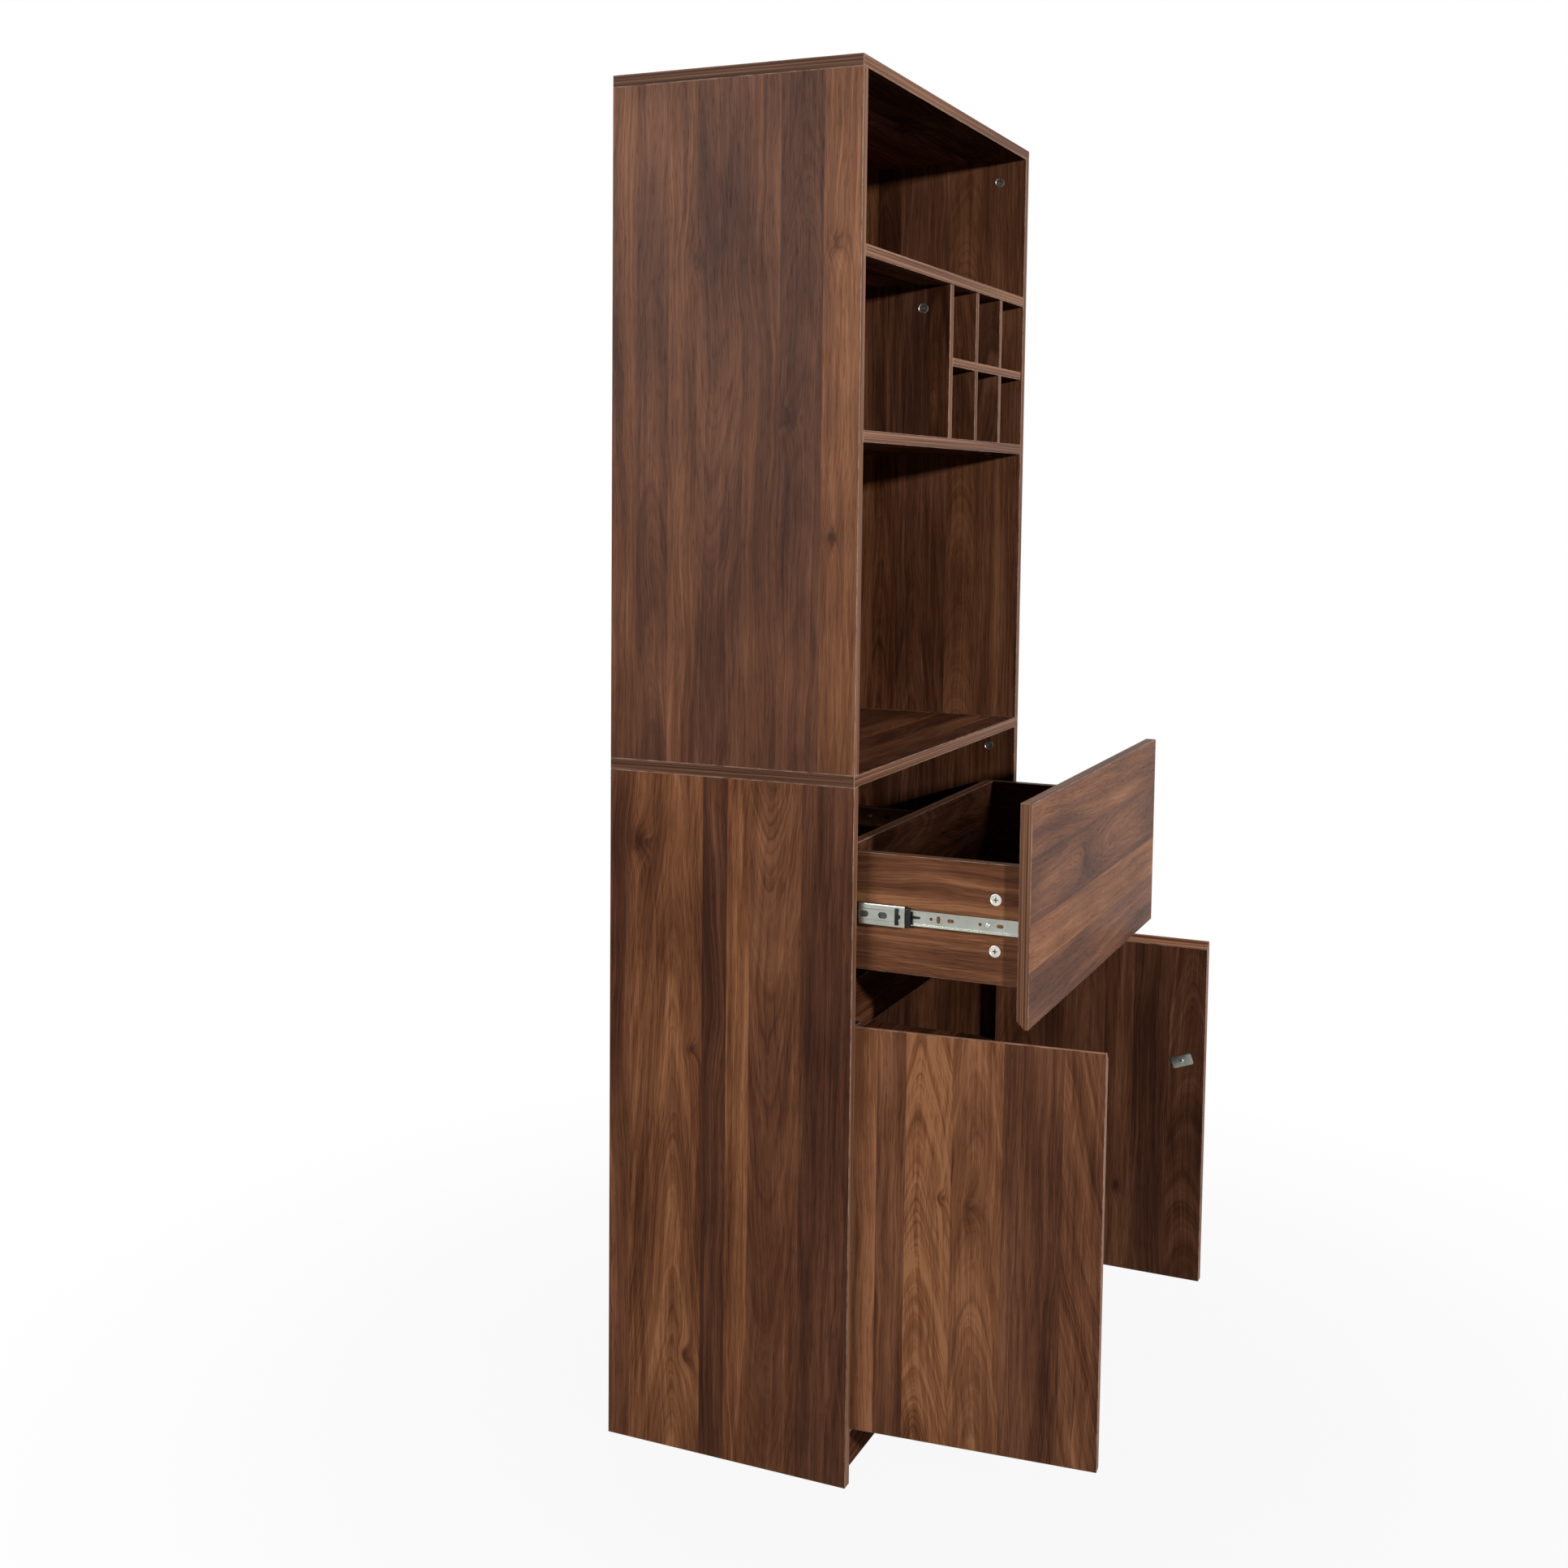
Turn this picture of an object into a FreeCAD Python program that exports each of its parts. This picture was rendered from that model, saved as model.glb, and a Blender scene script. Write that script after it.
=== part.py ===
import FreeCAD, Part
import os

os.makedirs("parts", exist_ok=True)

# Wine cabinet: a bottle rack over an open bay, a drawer and a two-door cupboard.
# Millimetres. X runs along the width, Y from front to back, Z up from the floor.
# The origin is on the floor, at mid width, under the middle of the kick board.

Vector = FreeCAD.Vector
ALONG_X = Vector(1, 0, 0)
ALONG_Y = Vector(0, 1, 0)
ALONG_Z = Vector(0, 0, 1)
LEFT, RIGHT = -1, 1
SIDES = ((LEFT, "left"), (RIGHT, "right"))
bolt_sides = 6
pin_sides = 8
cam_sides = 10

shapes = {}
cutters = {}


def box(x_span, y_span, z_span):
    """A plain block between two ends on each axis, given in either order."""
    low = Vector(min(x_span), min(y_span), min(z_span))
    high = Vector(max(x_span), max(y_span), max(z_span))
    size = high - low
    return Part.makeBox(size.x, size.y, size.z, low)


def rod(start, direction, radius, length):
    return Part.makeCylinder(radius, length, start, direction)


def prism(start, direction, radius, length, sides):
    """A rod with flat sides, for small hardware that repeats and for the holes that fit it."""
    arm = Vector(direction.y, direction.z, direction.x) * radius
    turn = FreeCAD.Rotation(direction, 360 / sides)
    corners = [start + arm]
    for _ in range(sides):
        arm = turn.multVec(arm)
        corners.append(start + arm)
    corners[-1] = corners[0]
    return Part.Face(Part.makePolygon(corners)).extrude(direction * length)


def span(start, length):
    return (start, start + length)


def block(centre, first, second, third):
    """A block about its centre, from its half size along each axis as a vector."""
    reach = first + second + third
    low = centre - reach
    high = centre + reach
    return box((low.x, high.x), (low.y, high.y), (low.z, high.z))


def drill(node, cutter):
    """Remember a hole or groove, cut once all the pieces are placed."""
    cutters.setdefault(node, []).append(cutter)


def drill_through(start, direction, radius, passes):
    """Drill a row of pieces, each by the length given with it, and return the whole length."""
    place = start
    for length, node in passes:
        drill(node, prism(place, direction, radius, length, pin_sides))
        place = place + direction * length
    return (place - start).Length


def mirrored(shape):
    return shape.mirror(Vector(0, 0, 0), ALONG_X)


def one_solid(pieces):
    joined = pieces[0].multiFuse(pieces[1:])
    return joined.removeSplitter()


def joined_group(solids):
    return Part.makeCompound(solids)


# Overall sizes and the board stock
width = 700.0
depth = 345.0
height = 1800.0
board = 15.0
thin_board = 12.0
panel = 3.0
counter_height = 920.0
kick_setback = 16.0

half_width = width / 2
inside = half_width - board
front = -kick_setback - board / 2
back = front + depth

# Back panels stand in grooves near the back edges
panel_inset = 7.0
groove_depth = 5.0
groove_play = 0.2
lower_panel_foot = 40.0

panel_rear = back - panel_inset
panel_front = panel_rear - panel
groove_y = (panel_front - groove_play, panel_rear)
groove_x = (-inside - groove_depth, inside + groove_depth)
counter_under = counter_height - board
top_under = height - board

# Carcass boards: the top and the counter lie over the sides
shapes["top_board"] = box((-half_width, half_width), (front, back), (top_under, height))
shapes["countertop"] = box((-half_width, half_width), (front, back), (counter_under, counter_height))
for side, name in SIDES:
    thickness = (side * inside, side * half_width)
    groove = (side * inside, side * (inside + groove_depth))
    shapes["upper_" + name + "_side"] = box(thickness, (front, back), (counter_height, top_under))
    shapes["lower_" + name + "_side"] = box(thickness, (front, back), (0, counter_under))
    drill("upper_" + name + "_side", box(groove, groove_y, (counter_height, top_under)))
    drill("lower_" + name + "_side", box(groove, groove_y, (0, counter_under)))

upper_panel_z = (counter_height - groove_depth, top_under + groove_depth)
lower_panel_z = (lower_panel_foot, counter_under + groove_depth)
shapes["upper_back_panel"] = box(groove_x, (panel_front, panel_rear), upper_panel_z)
shapes["lower_back_panel"] = box(groove_x, (panel_front, panel_rear), lower_panel_z)
drill("top_board", box(groove_x, groove_y, (top_under, upper_panel_z[1])))
drill("countertop", box(groove_x, groove_y, (upper_panel_z[0], counter_height)))
drill("countertop", box(groove_x, groove_y, (counter_under, lower_panel_z[1])))

# Two fixed shelves, and between them a divider and a rack of boards halved together
top_room = 210.0
rack_height = 212.0
rack_setback = 2.0
rack_columns = 3
lap_play = 0.1

upper_shelf_top = top_under - top_room
upper_shelf_under = upper_shelf_top - board
lower_shelf_top = upper_shelf_under - rack_height
lower_shelf_under = lower_shelf_top - board
inner_depth = (front, panel_front)
rack_depth = (front + rack_setback, panel_front)
lap_middle = (rack_depth[0] + rack_depth[1]) / 2
rack_middle = lower_shelf_top + rack_height / 2
rack_shelf_z = (rack_middle - thin_board / 2, rack_middle + thin_board / 2)
rack_left = board / 2
cell_width = (inside - rack_left - (rack_columns - 1) * thin_board) / rack_columns

shapes["upper_shelf"] = box((-inside, inside), inner_depth, (upper_shelf_under, upper_shelf_top))
shapes["lower_shelf"] = box((-inside, inside), inner_depth, (lower_shelf_under, lower_shelf_top))
shapes["rack_divider"] = box((-rack_left, rack_left), rack_depth, (lower_shelf_top, upper_shelf_under))
shapes["rack_shelf"] = box((rack_left, inside), rack_depth, rack_shelf_z)
for column in range(1, rack_columns):
    start = rack_left + column * cell_width + (column - 1) * thin_board
    name = "bottle_divider_" + str(column)
    shapes[name] = box(span(start, thin_board), rack_depth, (lower_shelf_top, upper_shelf_under))
    lap_z = (rack_shelf_z[0] - lap_play, rack_shelf_z[1] + lap_play)
    lap_x = (start - lap_play, start + thin_board + lap_play)
    drill(name, box(lap_x, (rack_depth[0], lap_middle + lap_play), lap_z))
    drill("rack_shelf", box(lap_x, (lap_middle - lap_play, rack_depth[1]), rack_shelf_z))

# Base of the lower unit: kick board, bottom board, front rail and a loose shelf
bottom_top = 68.0
drawer_top_gap = 5.0
drawer_front_height = 278.0
finger_gap = 25.0
door_foot_gap = 2.0
rail_setback = 20.0
rail_drop = 21.0
rail_height = 70.0
loose_shelf_share = 0.66
loose_shelf_setback = 22.0
loose_shelf_play = 1.0

drawer_front_high = counter_under - drawer_top_gap
drawer_front_low = drawer_front_high - drawer_front_height
door_high = drawer_front_low - finger_gap
door_low = bottom_top + door_foot_gap
rail_low = door_high - rail_drop
loose_shelf_top = bottom_top + (rail_low - bottom_top) * loose_shelf_share
bottom_under = bottom_top - board
kick_front = front + kick_setback
rail_y = span(front + rail_setback, board)
kick_y = span(kick_front, board)
loose_shelf_under = loose_shelf_top - board
loose_shelf_front = front + loose_shelf_setback
loose_reach = inside - loose_shelf_play
shapes["kick_board"] = box((-inside, inside), kick_y, (0, bottom_under))
shapes["bottom_board"] = box((-inside, inside), (kick_front, panel_front), (bottom_under, bottom_top))
shapes["front_rail"] = box((-inside, inside), rail_y, span(rail_low, rail_height))
shapes["cupboard_shelf"] = box(
    (-loose_reach, loose_reach),
    (loose_shelf_front, panel_front - loose_shelf_play),
    (loose_shelf_under, loose_shelf_top),
)

# Pins under the loose shelf
shelf_pin_radius = 2.5
shelf_pin_hole_depth = 9.0
shelf_pin_reach = 9.0
shelf_pin_inset = 60.0

shelf_pins = []
for side, name in SIDES:
    for y in (front + shelf_pin_inset, panel_front - shelf_pin_inset):
        start = Vector(side * (inside + shelf_pin_hole_depth), y, loose_shelf_under - shelf_pin_radius)
        inward = ALONG_X * -side
        shelf_pin_length = shelf_pin_hole_depth + shelf_pin_reach
        shelf_pins.append(prism(start, inward, shelf_pin_radius, shelf_pin_length, pin_sides))
        hole = prism(start, inward, shelf_pin_radius, shelf_pin_hole_depth, pin_sides)
        drill("lower_" + name + "_side", hole)
shapes["shelf_pins"] = joined_group(shelf_pins)

# Cam locks: a cam sits in a face, a bolt from the next board ends in its slot
cam_radius = 7.5
cam_depth = 12.5
cam_play = 0.1
cam_reach = 32.0
cam_inset = 42.0
bolt_grip = 11.0
bolt_radius = 2.75
bolt_head_radius = 3.5
bolt_head_length = 3.0
bolt_head_start = 2.0
bolt_play = 0.5


def cam_joint(cam_board, bolt_board, centre, into, toward, cams, bolts):
    """Join two boards: `centre` is on the cam board's face, `toward` points at the bolt board."""
    across = into.cross(toward)
    axis = centre + into * (board / 2)
    half_slot = bolt_head_radius + bolt_play
    bolt_reach = cam_reach - bolt_head_start
    slot_middle = axis + toward * ((cam_radius - half_slot) / 2)
    slot_reach = (cam_radius + half_slot) / 2
    cam = prism(centre, into, cam_radius - cam_play, cam_depth, cam_sides)
    cam = cam.cut(block(slot_middle, toward * slot_reach, across * half_slot, into * half_slot))
    bolt = one_solid([
        prism(axis + toward * bolt_head_start, toward, bolt_head_radius, bolt_head_length, bolt_sides),
        prism(axis + toward * bolt_head_start, toward, bolt_radius, bolt_reach + bolt_grip, bolt_sides),
    ])
    cams.append(cam)
    bolts.append(bolt)
    drill(cam_board, prism(centre, into, cam_radius, cam_depth, cam_sides))
    drill(cam_board, prism(axis, toward, bolt_head_radius + bolt_play, cam_reach, bolt_sides))
    drill(bolt_board, prism(axis + toward * cam_reach, toward, bolt_radius, bolt_grip, bolt_sides))


cams = []
bolts = []
cam_rows = (front + cam_inset, panel_front - cam_inset)
for side, name in SIDES:
    outward = ALONG_X * side
    upper_side = "upper_" + name + "_side"
    lower_side = "lower_" + name + "_side"
    near_side = side * (inside - cam_reach)
    for y in cam_rows:
        under_top = Vector(side * inside, y, top_under - cam_reach)
        under_counter = Vector(side * inside, y, counter_under - cam_reach)
        cam_joint(upper_side, "top_board", under_top, outward, ALONG_Z, cams, bolts)
        cam_joint(lower_side, "countertop", under_counter, outward, ALONG_Z, cams, bolts)
        for shelf, under in (("upper_shelf", upper_shelf_under), ("lower_shelf", lower_shelf_under)):
            cam_joint(shelf, upper_side, Vector(near_side, y, under), ALONG_Z, outward, cams, bolts)
        under_bottom = Vector(near_side, y, bottom_under)
        cam_joint("bottom_board", lower_side, under_bottom, ALONG_Z, outward, cams, bolts)
    behind_rail = Vector(near_side, rail_y[1], rail_low + rail_height / 2)
    behind_kick = Vector(near_side, kick_y[1], bottom_under / 2)
    cam_joint("front_rail", lower_side, behind_rail, -ALONG_Y, outward, cams, bolts)
    cam_joint("kick_board", lower_side, behind_kick, -ALONG_Y, outward, cams, bolts)
for y in cam_rows:
    on_divider = Vector(-rack_left, y, upper_shelf_under - cam_reach)
    cam_joint("rack_divider", "upper_shelf", on_divider, ALONG_X, ALONG_Z, cams, bolts)
shapes["cam_locks"] = joined_group(cams)
shapes["cam_bolts"] = joined_group(bolts)

# Dowels: thick ones through the counter, thin ones under the divider and in the rack shelf
dowel_radius = 4.0
dowel_depth = 14.0
dowel_inset = 80.0
rack_dowel_radius = 3.0
rack_dowel_shallow = 5.0
rack_dowel_deep = 18.0
rack_dowel_inset = 60.0

dowels = []


def dowel(start, direction, radius, passes):
    length = drill_through(start, direction, radius, passes)
    dowels.append(prism(start, direction, radius, length, pin_sides))


for side, name in SIDES:
    for y in (front + dowel_inset, back - dowel_inset):
        start = Vector(side * (inside + board / 2), y, counter_under - dowel_depth)
        dowel(start, ALONG_Z, dowel_radius, (
            (dowel_depth, "lower_" + name + "_side"),
            (board, "countertop"),
            (dowel_depth, "upper_" + name + "_side"),
        ))
for y in (front + rack_dowel_inset, panel_front - rack_dowel_inset):
    foot = Vector(0, y, lower_shelf_top - rack_dowel_shallow)
    dowel(foot, ALONG_Z, rack_dowel_radius, (
        (rack_dowel_shallow, "lower_shelf"),
        (rack_dowel_deep, "rack_divider"),
    ))
    for edge, node, into in ((rack_left, "rack_divider", ALONG_X), (inside, "upper_right_side", -ALONG_X)):
        start = Vector(edge, y, rack_middle) - into * rack_dowel_shallow
        dowel(start, into, rack_dowel_radius, (
            (rack_dowel_shallow, node),
            (rack_dowel_deep, "rack_shelf"),
        ))
shapes["dowels"] = joined_group(dowels)

# Small pan head screws
screw_head_radius = 3.0
screw_head_height = 1.6
screw_shank_radius = 1.5
screw_grip = 11.0

carcass_screws = []
drawer_screws = []


def screw(seat, direction, passes, screws):
    """A screw with its head on `seat`, through each piece by the length given with it."""
    head_top = seat - direction * screw_head_height
    length = drill_through(seat, direction, screw_shank_radius, passes)
    screws.append(one_solid([
        prism(head_top, direction, screw_head_radius, screw_head_height, pin_sides),
        prism(seat, direction, screw_shank_radius, length, pin_sides),
    ]))


# Drawer slides, in three telescoping members with ball cages between them.
# `s` is the distance from the cabinet side towards the drawer side.
slide_gap = 12.5
slide_drop = 156.0
slide_skin = 1.2
slide_length = 250.0
slide_setback = 17.0
outer_half = 17.5
outer_tip = 11.0
outer_lip = 1.6
middle_half = 14.0
middle_web = 4.2
middle_tip = 11.6
middle_lip = 2.2
middle_setback = 50.0
middle_length = 215.0
inner_half = 9.75
inner_tip = 6.6
inner_setback = 16.0
cage_skin = 0.6
cage_play = 0.35
outer_cage_tip = 9.0
outer_cage_setback = 90.0
outer_cage_length = 90.0
inner_cage_tip = 10.0
inner_cage_setback = 120.0
inner_cage_length = 70.0
stop_setback = 43.0
stop_length = 9.0
stop_skin = 0.8
lever_setback = 144.0
lever_length = 18.0
lever_half = 2.5
lever_thickness = 1.5
round_hole_radius = 3.0
oval_length = 9.0
oval_width = 4.5
middle_hole_first = 29.0
middle_hole_step = 25.0
inner_hole_first = 50.0
inner_hole_second = 113.5
inner_slot_first = 24.5
inner_slot_second = 88.0
inner_tall_slot = 103.8
inner_screw_first = 40.0
inner_screw_second = 200.0
outer_screw_first = 30.0
outer_screw_second = 225.0

slide_centre = drawer_front_high - slide_drop


def slide_box(s_span, y_span, z_span):
    low, high = min(z_span), max(z_span)
    return box((s_span[0] - inside, s_span[1] - inside), y_span, (slide_centre + low, slide_centre + high))


def channel(web, tip, half_height, skin, lip, y_span):
    """A folded strip: a web, two flanges reaching to `tip` and a lip on each."""
    pieces = [slide_box(web, y_span, (-half_height, half_height))]
    flange_s = (min(web[0], tip), max(web[1], tip))
    lip_s = (tip - skin, tip)
    for up in (-1, 1):
        pieces.append(slide_box(flange_s, y_span, (up * half_height, up * (half_height - skin))))
        if lip:
            pieces.append(slide_box(lip_s, y_span, (up * half_height, up * (half_height - skin - lip))))
    return one_solid(pieces)


def slide_hole(place, s_from, s_to):
    start = Vector(s_from - inside, place, slide_centre)
    return prism(start, ALONG_X, round_hole_radius, s_to - s_from, cam_sides)


def slide_slot(place, s_from, s_to, along_y, along_z):
    return slide_box((s_from, s_to), (place - along_y / 2, place + along_y / 2), (-along_z / 2, along_z / 2))


inner_web = (slide_gap - slide_skin, slide_gap)
middle_web_s = span(middle_web, slide_skin)
outer_y = span(front + slide_setback, slide_length)
middle_y = span(front + middle_setback, middle_length)
inner_y = span(front + inner_setback, slide_length)

outer_member = channel((0, slide_skin), outer_tip, outer_half, slide_skin, outer_lip, outer_y)
middle_member = channel(middle_web_s, middle_tip, middle_half, slide_skin, middle_lip, middle_y)
inner_member = channel(inner_web, inner_tip, inner_half, slide_skin, 0, inner_y)
for place in (middle_hole_first, middle_hole_first + middle_hole_step):
    middle_member = middle_member.cut(slide_hole(middle_y[0] + place, *middle_web_s))
for place in (inner_hole_first, inner_hole_second):
    inner_member = inner_member.cut(slide_hole(inner_y[0] + place, *inner_web))
for place in (inner_slot_first, inner_slot_second):
    inner_member = inner_member.cut(slide_slot(inner_y[0] + place, *inner_web, oval_length, oval_width))
inner_member = inner_member.cut(slide_slot(inner_y[0] + inner_tall_slot, *inner_web, oval_width, oval_length))

outer_cage_web = (middle_web - cage_play - cage_skin, middle_web - cage_play)
outer_cage_half = outer_half - slide_skin - cage_play
outer_cage_skin = outer_cage_half - middle_half - cage_play
outer_cage = channel(
    outer_cage_web, outer_cage_tip, outer_cage_half, outer_cage_skin, 0,
    span(front + outer_cage_setback, outer_cage_length),
)
inner_cage_web = span(middle_web_s[1] + cage_play, cage_skin)
inner_cage_half = middle_half - slide_skin - cage_play
inner_cage_skin = inner_cage_half - inner_half - cage_play
inner_cage = channel(
    inner_cage_web, inner_cage_tip, inner_cage_half, inner_cage_skin, 0,
    span(front + inner_cage_setback, inner_cage_length),
)
stop_half = middle_half - slide_skin
stop = channel(
    span(middle_web_s[1], stop_skin), inner_cage_tip, stop_half, inner_cage_skin, 0,
    span(front + stop_setback, stop_length),
)
lever = slide_box(
    (inner_web[0] - lever_thickness, inner_web[0]),
    span(front + lever_setback, lever_length),
    (-lever_half, lever_half),
)
for name, member in (
    ("slide_outer", outer_member), ("slide_middle", middle_member), ("slide_inner", inner_member),
    ("outer_cage", outer_cage), ("inner_cage", inner_cage), ("slide_stop", stop),
):
    shapes["left_" + name] = member
    shapes["right_" + name] = mirrored(member)
shapes["slide_levers"] = joined_group([lever, mirrored(lever)])
for side, name in SIDES:
    for place in (outer_screw_first, outer_screw_second):
        seat = Vector(side * (inside - slide_skin), outer_y[0] + place, slide_centre)
        screw(seat, ALONG_X * side, (
            (slide_skin, name + "_slide_outer"),
            (screw_grip, "lower_" + name + "_side"),
        ), carcass_screws)
    for place in (inner_screw_first, inner_screw_second):
        seat = Vector(side * (inside - inner_web[0]), inner_y[0] + place, slide_centre)
        screw(seat, ALONG_X * -side, (
            (slide_skin, name + "_slide_inner"),
            (screw_grip, "drawer_" + name + "_side"),
        ), drawer_screws)

# Drawer: the front is the box's front wall and hangs below it as a finger grip
drawer_gap = 2.0
grip_bevel = 10.0
drawer_side_drop = 73.5
drawer_side_height = 150.0
drawer_box_depth = 250.0
drawer_bottom_lift = 10.0
drawer_cam_step = 32.0
drawer_screw_step = 45.0

drawer_half = inside - slide_gap
drawer_inner = drawer_half - board
drawer_box_front = front + board
drawer_back_y = (drawer_box_front + drawer_box_depth - board, drawer_box_front + drawer_box_depth)
drawer_side_low = slide_centre - drawer_side_drop
drawer_side_z = span(drawer_side_low, drawer_side_height)
front_reach = inside - drawer_gap


def bevelled_board(x_span, z_edge, z_far, inner_y):
    """A front board, its inner edge at `z_edge` cut back at 45 degrees for the fingers."""
    toward_far = 1 if z_far > z_edge else -1
    outline = [
        (front, z_edge),
        (inner_y - grip_bevel, z_edge),
        (inner_y, z_edge + toward_far * grip_bevel),
        (inner_y, z_far),
        (front, z_far),
    ]
    corners = [Vector(x_span[0], y, z) for y, z in outline]
    face = Part.Face(Part.makePolygon(corners + corners[:1]))
    return face.extrude(ALONG_X * (x_span[1] - x_span[0]))


shapes["drawer_front"] = bevelled_board(
    (-front_reach, front_reach), drawer_front_low, drawer_front_high, drawer_box_front)
shapes["drawer_back"] = box((-drawer_inner, drawer_inner), drawer_back_y, drawer_side_z)
bottom_z = span(drawer_side_low + drawer_bottom_lift, panel)
bottom_groove_z = (bottom_z[0], bottom_z[1] + groove_play)
bottom_x = (-drawer_inner - groove_depth, drawer_inner + groove_depth)
bottom_y = (drawer_box_front - groove_depth, drawer_back_y[0] + groove_depth)
shapes["drawer_bottom"] = box(bottom_x, bottom_y, bottom_z)
bottom_groove = box(bottom_x, bottom_y, bottom_groove_z)
for node in ("drawer_front", "drawer_back", "drawer_left_side", "drawer_right_side"):
    drill(node, bottom_groove)

back_middle = drawer_back_y[0] + board / 2
drawer_cams = []
drawer_bolts = []
for side, name in SIDES:
    node = "drawer_" + name + "_side"
    inward = ALONG_X * -side
    side_x = (side * drawer_inner, side * drawer_half)
    shapes[node] = box(side_x, (drawer_box_front, drawer_back_y[1]), drawer_side_z)
    for step in (-1, 1):
        cam_z = slide_centre + step * drawer_cam_step
        on_side = Vector(side * drawer_half, drawer_box_front + cam_reach, cam_z)
        cam_joint(node, "drawer_front", on_side, inward, -ALONG_Y, drawer_cams, drawer_bolts)
        mouth = Vector(side * drawer_half, back_middle, slide_centre + step * drawer_screw_step)
        drill(node, prism(mouth, inward, screw_head_radius, screw_head_height, pin_sides))
        screw(mouth + inward * screw_head_height, inward, (
            (board - screw_head_height, node),
            (screw_grip, "drawer_back"),
        ), drawer_screws)
shapes["drawer_cam_locks"] = joined_group(drawer_cams)
shapes["drawer_cam_bolts"] = joined_group(drawer_bolts)
shapes["drawer_screws"] = joined_group(drawer_screws)

# Doors: inset, turning on pins held by small angle brackets above and below
door_gap = 3.0
meeting_gap = 2.0
door_edge_round = 1.0
pivot_from_side = 12.0
pin_radius = 2.5
pin_play = 0.1
pin_length = 20.0
bushing_radius = 4.0
bushing_length = 12.0
bushing_drop = 7.0
bracket_steel = 2.0
bracket_reach = 22.0
bracket_inset = 1.5
bracket_depth = 14.0
bracket_leaf = 21.0
bracket_play = 1.0
bracket_screw_rise = 13.0
bracket_screw_step = 3.4
strike_length = 33.0
strike_height = 17.0
strike_thickness = 1.0
strike_inset = 34.0
strike_tilt_degrees = 20.0
catch_height = 16.0
catch_length = 30.0
catch_ear = 8.0
catch_ear_height = 3.0
catch_depth = 16.0
catch_gap = 0.5
pole_length = 24.0
pole_depth = 9.0
pole_thickness = 1.5
pole_lift = 3.0

door_inner = front + board
pivot_y = front + board / 2
pivot_x = -inside + pivot_from_side
strike_z = loose_shelf_top + catch_height / 2
strike_x = -meeting_gap / 2 - strike_inset

door = bevelled_board((-inside + door_gap, -meeting_gap / 2), door_high, door_low, door_inner)
hinge_edges = [
    edge for edge in door.Edges
    if all(abs(vertex.X + inside - door_gap) < door_edge_round / 2 for vertex in edge.Vertexes)
    and abs(edge.Vertexes[0].Y - edge.Vertexes[1].Y) < door_edge_round / 2
]
door = door.makeFillet(door_edge_round, hinge_edges)
bushings = []
brackets = []
for end, up in ((door_high, 1), (door_low, -1)):
    outward = ALONG_Z * up
    tab_near = end + up * bracket_play
    tab_far = tab_near + up * bracket_steel
    bracket_y = span(front + bracket_inset, bracket_depth)
    pin_top = Vector(pivot_x, pivot_y, tab_far)
    bracket = one_solid([
        box(span(-inside, bracket_reach), bracket_y, (tab_near, tab_far)),
        box(span(-inside, bracket_steel), bracket_y, (tab_near, tab_near + up * bracket_leaf)),
        rod(pin_top, -outward, pin_radius, bracket_steel + pin_length),
    ])
    brackets.append(bracket)
    hole_depth = bushing_drop + bushing_length
    bushing_mouth = Vector(pivot_x, pivot_y, end)
    door = door.cut(prism(bushing_mouth, -outward, bushing_radius, hole_depth, cam_sides))
    bushing_start = bushing_mouth - outward * bushing_drop
    bushing = prism(bushing_start, -outward, bushing_radius, bushing_length, cam_sides)
    bushings.append(bushing.cut(rod(bushing_start, -outward, pin_radius + pin_play, bushing_length)))
    for side, name in SIDES:
        for step in (-1, 1):
            seat = Vector(
                side * (inside - bracket_steel),
                bracket_y[0] + bracket_depth / 2 + step * bracket_screw_step,
                tab_near + up * bracket_screw_rise,
            )
            screw(seat, ALONG_X * side, (
                (bracket_steel, "pivot_brackets"),
                (screw_grip, "lower_" + name + "_side"),
            ), carcass_screws)
shapes["pivot_brackets"] = joined_group(brackets + [mirrored(bracket) for bracket in brackets])

strike_y = span(door_inner, strike_thickness)
strike_plate = box(
    (strike_x - strike_length / 2, strike_x + strike_length / 2),
    strike_y,
    (strike_z - strike_height / 2, strike_z + strike_height / 2),
)
strike_plate.rotate(Vector(strike_x, 0, strike_z), ALONG_Y, strike_tilt_degrees)
shapes["left_door"] = door
shapes["left_door_bushings"] = joined_group(bushings)
shapes["left_strike_plate"] = strike_plate
left_strike_screw = []
strike_seat = Vector(strike_x, strike_y[1], strike_z)
screw(strike_seat, -ALONG_Y, (
    (strike_thickness, "left_strike_plate"),
    (screw_grip, "left_door"),
), left_strike_screw)
shapes["left_strike_screw"] = left_strike_screw[0]

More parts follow.
